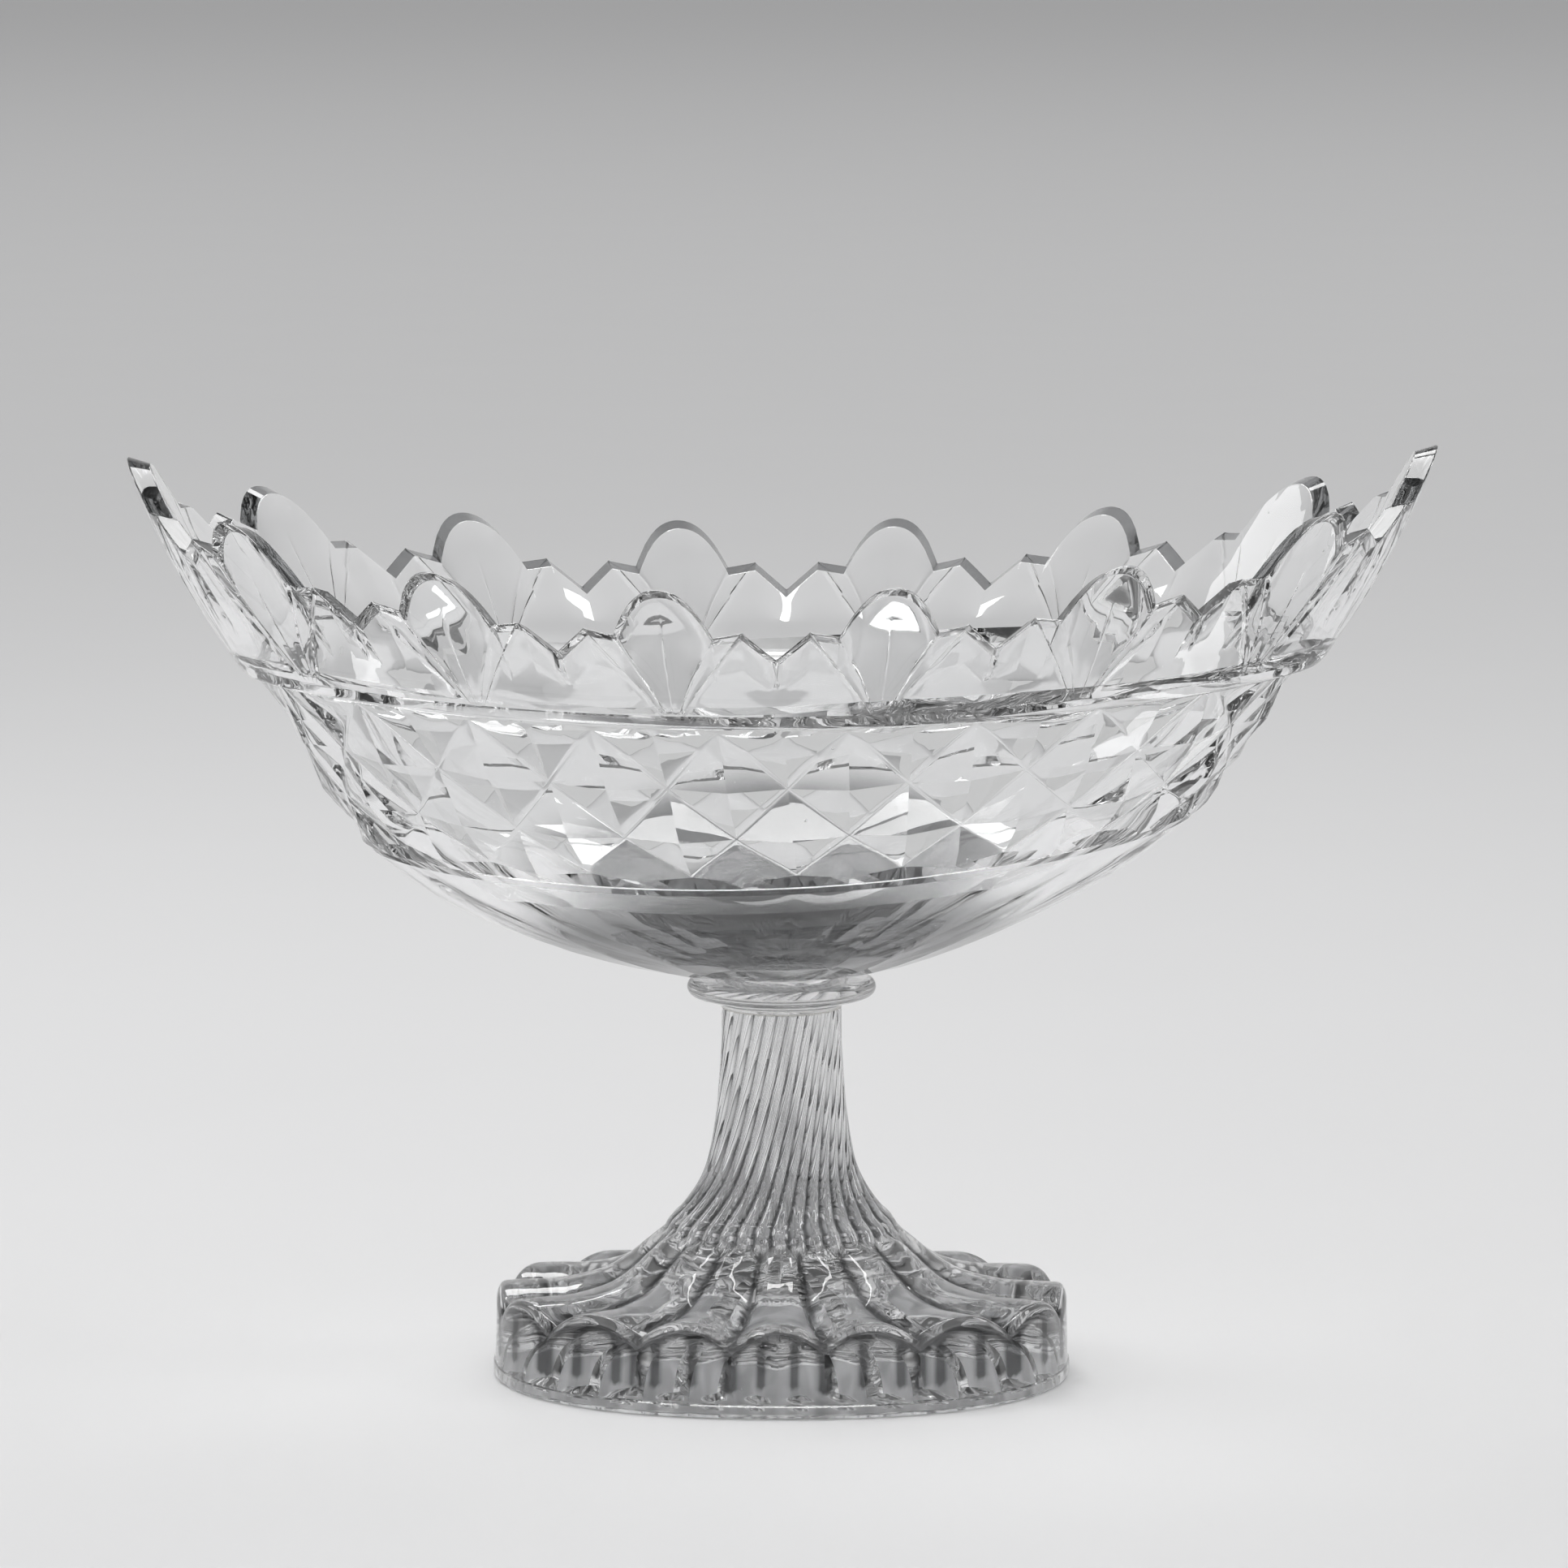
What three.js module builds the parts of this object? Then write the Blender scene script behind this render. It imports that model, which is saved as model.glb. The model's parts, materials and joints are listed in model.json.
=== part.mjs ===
// Boat-shaped footed fruit bowl of cut glass, millimetres, Z up, foot flat on Z = 0, length along X.
import * as THREE from "three";

// Driving dimensions of the foot and the stem
const FOOT_HALF_LENGTH = 77;
const FOOT_HALF_WIDTH = 61;
const FOOT_FULLNESS = 0.035;
const FOOT_BAND_HEIGHT = 3.2;
const FOOT_BAND_STEP = 0.5;
const FOOT_END_LEAN = 0.4;
const FOOT_SIDE_LEAN = 8.5;
const LOBES = 16;
const LOBE_SPREAD = -0.1;
const LOBE_TOP_HEIGHT = 23.2;
const LOBE_DEPTH = 5.2;
const LOBE_HEAD_RADIUS = 33.5;
const LOBE_HEAD_HEIGHT = 37;
const FOOT_RING_WIDTH = 6.5;
const FOOT_SIDE_RING_WIDTH = 9.5;
const HOLLOW_WALL_HEIGHT = 14;
const HOLLOW_DOME_HEIGHT = 15;
const HOLLOW_RIBS = 32;
const HOLLOW_RIB_DEPTH = 4.5;
const STEM_HEIGHT = 98.4;
const STEM_TOP_RADIUS = 15.9;
const STEM_RIBS = 32;
const STEM_RIB_DEPTH = 1.2;
const STEM_TWIST = 0.8;

// Driving dimensions of the collar and the two weld pads
const NECK_HEIGHT = 3;
const NECK_FLARE = 1.6;
const NECK_LIP = 0.1;
const MERESE_HEIGHT = 4.7;
const MERESE_RADIUS = 25.1;
const MERESE_FLAT_EDGE = 3;
const BOWL_WAFER_HEIGHT = 1.5;
const BOWL_WAFER_RADIUS = 13.2;
const BOWL_WAFER_FILLET = 0.7;

// Driving dimensions of the bowl
const BOWL_HALF_LENGTH_AT_BAND = 144.8;
const BOWL_HALF_WIDTH_AT_BAND = 71.3;
const BOWL_BAND_HEIGHT = 77.6;
const BOWL_END_RISE = 10;
const BASE_MARGIN = 1.2;
const BASE_WALL = 12;
const BAND_WALL = 7.2;
const RIM_WALL = 5.4;
const RIM_EDGE_DROP = 3.2;
const BAND_PROUD = 1.1;
const DIAMONDS = 20;
const DIAMOND_DEPTH = 2.6;
const DIAMOND_DRIFT = 0.0023;
const FLUTE_DEPTH = 0.45;
const ARCHES = 14;
const ARCH_SPREAD = 0.06;
const ARCH_TOP = 18.4;
const ARCH_CORNER = 5.9;
const SMALL_PEAK = 7.2;
const RIM_LOW_HEIGHT = 15.2;
const RIM_SHEER = 5.9;
const RIM_TIP_SHEER = 13.4;
const RIM_FLARE_END = 0.71;
const RIM_FLARE_SIDE = 0.5;
const FAN_DEPTH = 0.6;
const LEAN = 0.011;
const SAG = 0.04;

// Places on half a period of the rim, counted from the middle of its arch
const ARCH_EDGE = 0.22;
const PEAK_PLACE = 0.35;

// Outline of the uncut bowl as shares of half length, half width, height and end rise at the band
const BOWL_SHAPE = [
  [0.215, 0.305, 0.013, 0.03],
  [0.354, 0.442, 0.063, 0.22],
  [0.5, 0.572, 0.142, 0.43],
  [0.642, 0.694, 0.249, 0.67],
  [0.783, 0.802, 0.425, 0.95],
  [0.839, 0.858, 0.562, 0.98],
  [0.898, 0.9145, 0.737, 1],
  [0.9565, 0.965, 0.9265, 0.9],
  [0.97, 0.9775, 0.952, 0.86],
  [1, 1, 1, 0.81],
];
const BOWL_ROWS = [
  [BOWL_WAFER_RADIUS + 2 * BASE_MARGIN, BOWL_WAFER_RADIUS + BASE_MARGIN, 0, 0],
  ...BOWL_SHAPE.map(([length, width, height, rise]) => [
    BOWL_HALF_LENGTH_AT_BAND * length,
    BOWL_HALF_WIDTH_AT_BAND * width,
    BOWL_BAND_HEIGHT * height,
    BOWL_END_RISE * rise,
  ]),
];
const ROW_DIAMOND_BOTTOM = 5;
const ROW_DIAMOND_TOP = 8;
const ROW_BAND_BOTTOM = 9;
const ROW_BAND_TOP = 10;

// Heights at which the welded pieces meet
const MERESE_BOTTOM = STEM_HEIGHT + NECK_HEIGHT;
const MERESE_TOP = MERESE_BOTTOM + MERESE_HEIGHT;
const BOWL_BOTTOM = MERESE_TOP + BOWL_WAFER_HEIGHT;

// Smooth curve through a list of rows, read at a real row number
function rowAt(rows, at) {
  const last = rows.length - 1;
  const k = Math.min(Math.max(Math.floor(at), 0), last - 1);
  const f = at - k;
  const p0 = rows[Math.max(k - 1, 0)];
  const p1 = rows[k];
  const p2 = rows[k + 1];
  const p3 = rows[Math.min(k + 2, last)];
  const curve = (a, b, c, d) => {
    const bend = (2 * a - 5 * b + 4 * c - d) * f * f + (3 * b - a - 3 * c + d) * f * f * f;
    return 0.5 * (2 * b + (c - a) * f + bend);
  };
  return p1.map((value, i) => curve(p0[i], value, p2[i], p3[i]));
}

// Angle round an oval at a share of its length, so that cuts are spaced evenly along it
function evenAngles(halfLength, halfWidth) {
  const steps = 1440;
  const lengths = [0];
  for (let i = 0; i < steps; i += 1) {
    const mid = ((i + 0.5) / steps) * 2 * Math.PI;
    const piece = Math.hypot(halfLength * Math.cos(mid), halfWidth * Math.sin(mid));
    lengths.push(lengths[i] + piece);
  }
  return (share) => {
    const turns = Math.floor(share);
    const wanted = (share - turns) * lengths[steps];
    let low = 0;
    let high = steps;
    while (high - low > 1) {
      const mid = (low + high) >> 1;
      if (lengths[mid] <= wanted) low = mid;
      else high = mid;
    }
    const rest = (wanted - lengths[low]) / (lengths[high] - lengths[low]);
    return ((low + rest) / steps + turns) * 2 * Math.PI;
  };
}

// Mesh that is put together from rings of points
class RingMesh {
  constructor() {
    this.corners = [];
  }

  face(a, b, c) {
    this.corners.push(a.x, a.y, a.z, b.x, b.y, b.z, c.x, c.y, c.z);
  }

  // Strip between two closed rings of equal length, the second one further along the surface
  strip(ring, next, splitOther = () => false) {
    const count = ring.length;
    for (let i = 0; i < count; i += 1) {
      const j = (i + 1) % count;
      if (splitOther(i)) {
        this.face(ring[i], ring[j], next[i]);
        this.face(ring[j], next[j], next[i]);
      } else {
        this.face(ring[i], ring[j], next[j]);
        this.face(ring[i], next[j], next[i]);
      }
    }
  }

  // Strip between two closed rings of different length, each point with its share of the way round
  bridge(ring, shares, next, nextShares) {
    let i = 0;
    let j = 0;
    while (i < ring.length || j < next.length) {
      const a = i + 1 < ring.length ? shares[i + 1] : shares[0] + 1;
      const b = j + 1 < next.length ? nextShares[j + 1] : nextShares[0] + 1;
      const here = ring[i % ring.length];
      const there = next[j % next.length];
      if (j === next.length || (i < ring.length && a <= b)) {
        this.face(here, ring[(i + 1) % ring.length], there);
        i += 1;
      } else {
        this.face(here, next[(j + 1) % next.length], there);
        j += 1;
      }
    }
  }

  // Closes a ring with a fan of faces round one point
  cap(ring, point, turned = false) {
    ring.forEach((corner, i) => {
      const other = ring[(i + 1) % ring.length];
      if (turned) this.face(other, corner, point);
      else this.face(corner, other, point);
    });
  }

  mesh(name, material) {
    const geometry = new THREE.BufferGeometry();
    geometry.setAttribute("position", new THREE.Float32BufferAttribute(this.corners, 3));
    geometry.computeVertexNormals();
    const mesh = new THREE.Mesh(geometry, material);
    mesh.name = name;
    return mesh;
  }
}

const glass = (tint) =>
  new THREE.MeshStandardMaterial({ color: tint, roughness: 0.05, transparent: true, opacity: 0.6 });

const shareList = (count) => Array.from({ length: count }, (_, i) => i / count);

// Uncut outside of the bowl: share of the way round, and row number or 10 plus millimetres above the band
const bowlAngle = evenAngles(BOWL_HALF_LENGTH_AT_BAND, BOWL_HALF_WIDTH_AT_BAND);

function blankPoint(share, row) {
  const above = Math.max(row - ROW_BAND_TOP, 0);
  const [a, b, z, rise] = rowAt(BOWL_ROWS, Math.min(row, ROW_BAND_TOP));
  const angle = bowlAngle(share);
  const along = Math.sin(angle);
  const upright = above * (1 - 0.005 * above);
  const halfLength = a + RIM_FLARE_END * upright;
  const halfWidth = b + RIM_FLARE_SIDE * upright;
  const x = halfLength * along;
  const y = -halfWidth * Math.cos(angle);
  const low = Math.min(row / ROW_BAND_TOP, 1);
  const tilt = LEAN * Math.min(2 * low, 1) + SAG * Math.sin(Math.PI * low ** 0.6) ** 2;
  return new THREE.Vector3(x, y, BOWL_BOTTOM + z + rise * along * along + above + tilt * x);
}

// Point at a distance from the uncut outside, outwards or, if negative, into the glass
function bowlPoint(share, row, offset) {
  const point = blankPoint(share, row);
  if (offset === 0) return point;
  const step = 0.02;
  const round = blankPoint(share + 0.0005, row).sub(blankPoint(share - 0.0005, row));
  const up = blankPoint(share, row + step).sub(blankPoint(share, Math.max(row - step, 0)));
  return point.addScaledVector(round.cross(up).normalize(), offset);
}

// Share of the way round at an even place, so that the arches are wider at the sides than at the ends
const spread = (place) => place + (ARCH_SPREAD * Math.sin(4 * Math.PI * place)) / (4 * Math.PI);

// Height of the rim above the band, with one arch, two steps and two small peaks to each period
function rimHeight(place) {
  const period = place * ARCHES;
  const from = Math.abs(period - Math.floor(period) - 0.5);
  const along = Math.sin(bowlAngle(spread(place)));
  const low = RIM_LOW_HEIGHT + RIM_SHEER * along ** 2 + RIM_TIP_SHEER * along ** 6;
  if (from <= ARCH_EDGE) {
    const fall = (from / ARCH_EDGE) ** 2.2;
    return low + ARCH_TOP - (ARCH_TOP - ARCH_CORNER) * fall;
  }
  if (from <= PEAK_PLACE) {
    const across = (from - ARCH_EDGE) / (PEAK_PLACE - ARCH_EDGE);
    return low + ARCH_CORNER + (SMALL_PEAK - ARCH_CORNER) * across;
  }
  return low + (SMALL_PEAK * (0.5 - from)) / (0.5 - PEAK_PLACE);
}

// Columns of one half period of the rim: place at the rim, place at the band and depth of the fan cut
const FAN_COLUMNS = [
  [0, 0, 1],
  [0.25 * ARCH_EDGE, 0.012, 0.5],
  [0.5 * ARCH_EDGE, 0.025, 0],
  [0.75 * ARCH_EDGE, 0.036, 0.5],
  [ARCH_EDGE, 0.048, 1],
  [0.5 * (ARCH_EDGE + PEAK_PLACE), 0.062, 0.1],
  [PEAK_PLACE, 0.076, 1],
  [0.5 * (PEAK_PLACE + 0.5), 0.29, 0],
];

function fanColumns() {
  const columns = [];
  const add = (period, from, base, depth) => {
    const place = (period + 0.5 + from) / ARCHES;
    columns.push({
      rim: spread(place),
      base: spread((period + 0.5 + base) / ARCHES),
      height: rimHeight(place),
      depth: depth * FAN_DEPTH,
    });
  };
  for (let period = 0; period < ARCHES; period += 1) {
    add(period, -0.5, -0.5, 0.3);
    [...FAN_COLUMNS].reverse().forEach(([from, base, depth]) => add(period, -from, -base, depth));
    FAN_COLUMNS.slice(1).forEach(([from, base, depth]) => add(period, from, base, depth));
  }
  return columns;
}

function makeBowl() {
  const bowl = new RingMesh();
  const at = (shares, row, offset) =>
    shares.map((share, i) => bowlPoint(share, row, typeof offset === "function" ? offset(i) : offset));

  // The cutter's rows drift to the right as they go down
  const drifted = (shares, row) => {
    const rows = ROW_BAND_BOTTOM - Math.max(row, ROW_DIAMOND_BOTTOM);
    const fade = Math.min(row / ROW_DIAMOND_BOTTOM, 1);
    return shares.map((share) => share + DIAMOND_DRIFT * rows * fade);
  };

  // Base that rests on the weld pad, then the flutes
  const fluteShares = shareList(4 * DIAMONDS);
  const hollow = (i) => -FLUTE_DEPTH * [0, 0.75, 1, 0.75][i % 4];
  const base = at(fluteShares, 0, 0);
  bowl.cap(base, new THREE.Vector3(0, 0, BOWL_BOTTOM), true);
  let ring = base;
  [0.5, 1.2, 2, 3, 4, 4.8].forEach((row) => {
    const fade = Math.min(row / 2, 1);
    const next = at(drifted(fluteShares, row), row, (i) => hollow(i) * fade);
    bowl.strip(ring, next);
    ring = next;
  });

  // Diamonds: each point of the lattice is a crossing of two grooves or the tip of a pyramid
  const diamondShares = shareList(2 * DIAMONDS);
  const crossing = (i, row) => (i + row) % 2 === 1;
  const lattice = (row) =>
    at(drifted(diamondShares, row), row, (i) => (crossing(i, row) ? -DIAMOND_DEPTH : 0));
  let diamonds = lattice(ROW_DIAMOND_BOTTOM);
  bowl.bridge(ring, fluteShares, diamonds, diamondShares);
  for (let row = ROW_DIAMOND_BOTTOM; row < ROW_DIAMOND_TOP; row += 1) {
    const next = lattice(row + 1);
    bowl.strip(diamonds, next, (i) => !crossing(i, row));
    diamonds = next;
  }
  const groove = at(diamondShares, ROW_BAND_BOTTOM - 0.25, -0.5);
  bowl.strip(diamonds, groove, (i) => !crossing(i, ROW_DIAMOND_TOP));

  // Plain raised band
  const bandShares = shareList(4 * DIAMONDS);
  const bandLow = at(bandShares, ROW_BAND_BOTTOM + 0.1, BAND_PROUD);
  const bandHigh = at(bandShares, ROW_BAND_TOP - 0.65, BAND_PROUD);
  bowl.bridge(groove, diamondShares, bandLow, bandShares);
  bowl.strip(bandLow, bandHigh);

  // Fan cuts up to the rim
  const columns = fanColumns();
  const baseShares = columns.map((column) => column.base);
  const rimShares = columns.map((column) => column.rim);
  let fan = at(baseShares, ROW_BAND_TOP, 0);
  bowl.bridge(bandHigh, bandShares, fan, baseShares);
  [0.3, 0.65, 1].forEach((part) => {
    const next = columns.map((column) => {
      const share = column.base + (column.rim - column.base) * part;
      const deep = -column.depth * Math.min(0.25 + part, 1);
      return bowlPoint(share, ROW_BAND_TOP + column.height * part, deep);
    });
    bowl.strip(fan, next);
    fan = next;
  });

  // Edge of the rim and the smooth inside
  const inner = (part, wall) =>
    columns.map((column) => {
      const height = (column.height - RIM_EDGE_DROP) * part;
      return bowlPoint(column.rim, ROW_BAND_TOP + height, -wall);
    });
  const inside = inner(1, RIM_WALL);
  bowl.strip(fan, inside);
  const bandInside = inner(0.4, BAND_WALL);
  bowl.strip(inside, bandInside);
  const innerShares = shareList(4 * DIAMONDS);
  let wall = at(innerShares, ROW_BAND_TOP - 0.6, -BAND_WALL);
  bowl.bridge(bandInside, rimShares, wall, innerShares);
  [8, 6.5, 5, 4, 3, 2, 1].forEach((row) => {
    const thick = BASE_WALL + ((BAND_WALL - BASE_WALL) * row) / ROW_BAND_TOP;
    const next = at(innerShares, row, -thick);
    bowl.strip(wall, next);
    wall = next;
  });
  bowl.cap(wall, new THREE.Vector3(0, 0, BOWL_BOTTOM + BASE_WALL));
  return bowl.mesh("bowl", glass(0xe6ecee));
}

// Solid turned round the Z axis from an outline of radius and height, listed upwards on the outside
function turned(name, outline, tint) {
  const body = new RingMesh();
  const rings = outline.map(([radius, height]) =>
    shareList(48).map((share) => {
      const angle = share * 2 * Math.PI;
      return new THREE.Vector3(radius * Math.sin(angle), -radius * Math.cos(angle), height);
    }),
  );
  rings.slice(1).forEach((ring, i) => body.strip(rings[i], ring));
  body.cap(rings[0], new THREE.Vector3(0, 0, outline[0][1]), true);
  body.cap(rings[rings.length - 1], new THREE.Vector3(0, 0, outline[outline.length - 1][1]));
  return body.mesh(name, glass(tint));
}

function makeBowlWafer() {
  return turned(
    "bowl_wafer",
    [
      [BOWL_WAFER_RADIUS + BOWL_WAFER_FILLET, MERESE_TOP],
      [BOWL_WAFER_RADIUS, MERESE_TOP + 0.5 * BOWL_WAFER_HEIGHT],
      [BOWL_WAFER_RADIUS + 0.6 * BOWL_WAFER_FILLET, BOWL_BOTTOM],
    ],
    0xdfe6e8,
  );
}

function makeMerese() {
  const round = MERESE_HEIGHT / 2;
  const outline = [];
  for (let i = 0; i <= 10; i += 1) {
    const angle = (i / 10 - 0.5) * Math.PI;
    const radius = MERESE_RADIUS - MERESE_FLAT_EDGE * (1 - Math.cos(angle) ** 0.8);
    outline.push([radius, MERESE_BOTTOM + round * (1 + Math.sin(angle))]);
  }
  return turned("merese", outline, 0xd9e1e4);
}

function makeNeckWafer() {
  const bottom = STEM_TOP_RADIUS + NECK_LIP;
  return turned(
    "neck_wafer",
    [
      [bottom, STEM_HEIGHT],
      [bottom + 0.06 * NECK_FLARE, STEM_HEIGHT + 0.45 * NECK_HEIGHT],
      [bottom + 0.5 * NECK_FLARE, STEM_HEIGHT + 0.75 * NECK_HEIGHT],
      [bottom + NECK_FLARE, MERESE_BOTTOM],
    ],
    0xd2dbdf,
  );
}

// Stem above the lobes: share of the height, share of the way from the top radius to the lobe heads
const STEM_FLARE = [
  [0.055, 0.824],
  [0.117, 0.625],
  [0.209, 0.39],
  [0.309, 0.235],
  [0.445, 0.133],
  [0.614, 0.064],
  [0.794, 0.018],
  [1, 0],
];

// Crest of a lobe: share of the way from rim to head, share of the height from rim to head
const LOBE_CREST = [
  [0.02, -0.03],
  [0.07, 0.02],
  [0.2, 0.04],
  [0.41, 0.08],
  [0.66, 0.27],
  [0.81, 0.53],
  [0.92, 0.8],
  [1, 1],
];

function makeStemFoot() {
  const body = new RingMesh();
  const shares = shareList(8 * LOBES);
  const evenAngle = evenAngles(FOOT_HALF_LENGTH, FOOT_HALF_WIDTH);
  const footAngle = (share) => {
    const shift = (LOBE_SPREAD * Math.sin(4 * Math.PI * share)) / (4 * Math.PI);
    return evenAngle(share + shift);
  };
  const slim = FOOT_HALF_WIDTH / FOOT_HALF_LENGTH;
  const lobe = (share) => 1 - (1 - Math.abs(Math.cos(share * LOBES * Math.PI))) ** 1.2;

  const oval = (share, halfLength, ratio, height) => {
    const angle = footAngle(share);
    const outward = halfLength / FOOT_HALF_LENGTH;
    const full = halfLength * (1 + FOOT_FULLNESS * (outward * Math.sin(2 * angle)) ** 2);
    return new THREE.Vector3(full * Math.sin(angle), -full * ratio * Math.cos(angle), height);
  };
  const ovalRing = (halfLength, ratio, height) =>
    shares.map((share) => {
      const level = typeof height === "function" ? height(share) : height;
      return oval(share, halfLength, ratio, level);
    });

  // Foot: ground ring, plain band, smooth wall and lobed top
  const ground = ovalRing(FOOT_HALF_LENGTH, slim, 0);
  const band = ovalRing(FOOT_HALF_LENGTH, slim, FOOT_BAND_HEIGHT);
  const wallLength = FOOT_HALF_LENGTH - FOOT_BAND_STEP;
  const wallLow = ovalRing(wallLength, slim, FOOT_BAND_HEIGHT + 0.4);
  const lowTop = LOBE_TOP_HEIGHT - LOBE_DEPTH;
  const topLength = wallLength - FOOT_END_LEAN;
  const topSlim = (FOOT_HALF_WIDTH - FOOT_BAND_STEP - FOOT_SIDE_LEAN) / topLength;
  const wallHigh = ovalRing(topLength, topSlim, (share) => lowTop + LOBE_DEPTH * lobe(share));
  body.strip(ground, band);
  body.strip(band, wallLow);
  body.strip(wallLow, wallHigh);
  let ring = wallHigh;
  LOBE_CREST.forEach(([inward, upward]) => {
    const halfLength = topLength + (LOBE_HEAD_RADIUS - topLength) * inward;
    const ratio = topSlim + (0.9 - topSlim) * inward;
    const crest = LOBE_TOP_HEIGHT + (LOBE_HEAD_HEIGHT - LOBE_TOP_HEIGHT) * upward;
    const deep = LOBE_DEPTH * (1 - 0.75 * inward);
    const next = ovalRing(halfLength, ratio, (share) => crest - deep * (1 - lobe(share)));
    body.strip(ring, next);
    ring = next;
  });

  // Stem: ribs that stand straight at the bottom and twist to the right above
  STEM_FLARE.forEach(([upward, outward]) => {
    const height = LOBE_HEAD_HEIGHT + (STEM_HEIGHT - LOBE_HEAD_HEIGHT) * upward;
    const radius = STEM_TOP_RADIUS + (LOBE_HEAD_RADIUS - STEM_TOP_RADIUS) * outward;
    const turn = STEM_TWIST * Math.max(upward - 0.1, 0);
    const ratio = 0.9 + 0.1 * Math.min(2.5 * upward, 1);
    const next = shares.map((share) => {
      const angle = footAngle(share) + turn;
      const furrow = 1 - Math.abs(Math.cos(share * STEM_RIBS * Math.PI));
      const rib = radius - STEM_RIB_DEPTH * furrow;
      return new THREE.Vector3(rib * Math.sin(angle), -rib * ratio * Math.cos(angle), height);
    });
    body.strip(ring, next);
    ring = next;
  });
  body.cap(ring, new THREE.Vector3(0, 0, STEM_HEIGHT));

  // Underside: ground ring and ribbed hollow
  const hollowLength = FOOT_HALF_LENGTH - FOOT_RING_WIDTH;
  const hollowRatio = (FOOT_HALF_WIDTH - FOOT_SIDE_RING_WIDTH) / hollowLength;
  const innerShares = shareList(4 * HOLLOW_RIBS);
  const hollowHeight = (part) => {
    const dome = Math.max(1 - (part / 0.8) ** 2, 0) ** 1.5;
    return HOLLOW_WALL_HEIGHT * Math.sqrt(1 - part ** 12) + HOLLOW_DOME_HEIGHT * dome;
  };
  const domeRing = (part) => {
    const height = hollowHeight(part);
    return innerShares.map((share) => {
      const ridge = 1 - Math.abs(2 * ((share * HOLLOW_RIBS) % 1) - 1);
      const inward = part < 1 ? HOLLOW_RIB_DEPTH * ridge : 0;
      const rib = 1 - inward / hollowLength;
      return oval(share, hollowLength * part * rib, hollowRatio, height);
    });
  };
  let dome = domeRing(1);
  body.bridge(dome, innerShares, ground, shares);
  [0.999, 0.985, 0.94, 0.85, 0.65, 0.4, 0.18].forEach((part) => {
    const next = domeRing(part);
    body.strip(next, dome);
    dome = next;
  });
  body.cap(dome, new THREE.Vector3(0, 0, hollowHeight(0)), true);
  return body.mesh("stem_foot", glass(0xd6dee2));
}

const part = new THREE.Group();
part.name = "fruit_bowl";
part.add(makeStemFoot(), makeNeckWafer(), makeMerese(), makeBowlWafer(), makeBowl());

export default part;
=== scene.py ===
"""Looks of a boat-shaped footed fruit bowl of cut glass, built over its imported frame.

Every piece is a closed surface worked out with numpy as whole arrays, in millimetres, with the same
sizes as the frame and the finer cuts that the frame leaves out. Length runs along X, height along Z.
"""

import json
import logging
import math
from dataclasses import dataclass, field
from enum import Enum

import bmesh
import bpy
import numpy as np
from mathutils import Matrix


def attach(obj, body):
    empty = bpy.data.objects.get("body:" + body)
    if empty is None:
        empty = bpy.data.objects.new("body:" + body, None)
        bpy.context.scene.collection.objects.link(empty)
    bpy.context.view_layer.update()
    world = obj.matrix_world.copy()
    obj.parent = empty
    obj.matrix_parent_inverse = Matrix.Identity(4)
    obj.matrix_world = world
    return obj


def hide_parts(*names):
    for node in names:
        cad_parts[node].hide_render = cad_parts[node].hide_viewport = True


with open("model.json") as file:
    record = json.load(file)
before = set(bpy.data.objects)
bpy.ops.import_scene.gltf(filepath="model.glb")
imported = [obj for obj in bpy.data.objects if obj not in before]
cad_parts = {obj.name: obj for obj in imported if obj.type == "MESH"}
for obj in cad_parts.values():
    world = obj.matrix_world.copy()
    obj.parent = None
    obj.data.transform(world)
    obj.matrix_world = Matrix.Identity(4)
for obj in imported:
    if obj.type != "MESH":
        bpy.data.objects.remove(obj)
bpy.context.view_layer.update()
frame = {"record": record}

MM = 0.001
# Name of the point attribute by which the glass paints shade in furrows, under the lip and in upright
# streaks.
FURROW_SHADE = "furrow"

log = logging.getLogger("fruit_bowl")


class Face(Enum):
    """Kind of face, which is also the number of its material on a piece."""

    GLASS = 0
    WELD = 1
    # Rim edge faces, which take a dark tint of painted shade.
    EDGE = 2


class Level(Enum):
    """Heights at which the welded pieces meet, in millimetres."""

    STEM_TOP = 98.4
    COLLAR_BOTTOM = 101.4
    COLLAR_TOP = 106.1
    BOWL_BOTTOM = 107.6


def smoothstep(low: float, high: float, value: np.ndarray) -> np.ndarray:
    """Smooth step from 0 to 1.

    Args:
        low: Value at which the step starts.
        high: Value at which the step ends.
        value: Values to map.

    Returns:
        t^2 (3 - 2 t), where t is the clipped place of each value between low and high.
    """
    t = np.clip((value - low) / (high - low), 0.0, 1.0)
    return t * t * (3.0 - 2.0 * t)


def through_rows(rows: np.ndarray, at: np.ndarray) -> np.ndarray:
    """Smooth curve through a list of rows.

    Args:
        rows: Array of n rows with c columns.
        at: Real row numbers, of any shape.

    Returns:
        Array of at's shape with c more columns: the Catmull-Rom cubic of the four nearest rows.
    """
    last = len(rows) - 1
    k = np.clip(np.floor(at).astype(int), 0, last - 1)
    f = (at - k)[..., None]
    p0 = rows[np.maximum(k - 1, 0)]
    p1 = rows[k]
    p2 = rows[k + 1]
    p3 = rows[np.minimum(k + 2, last)]
    cubic = 3.0 * p1 - p0 - 3.0 * p2 + p3
    square = 2.0 * p0 - 5.0 * p1 + 4.0 * p2 - p3
    return p1 + 0.5 * f * (p2 - p0 + f * (square + f * cubic))


def even_shares(count: int) -> np.ndarray:
    """Shares of the way round, evenly spaced.

    Args:
        count: Number of shares.

    Returns:
        Array of count numbers from 0 up to, but without, 1.
    """
    return np.arange(count) / count


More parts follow.
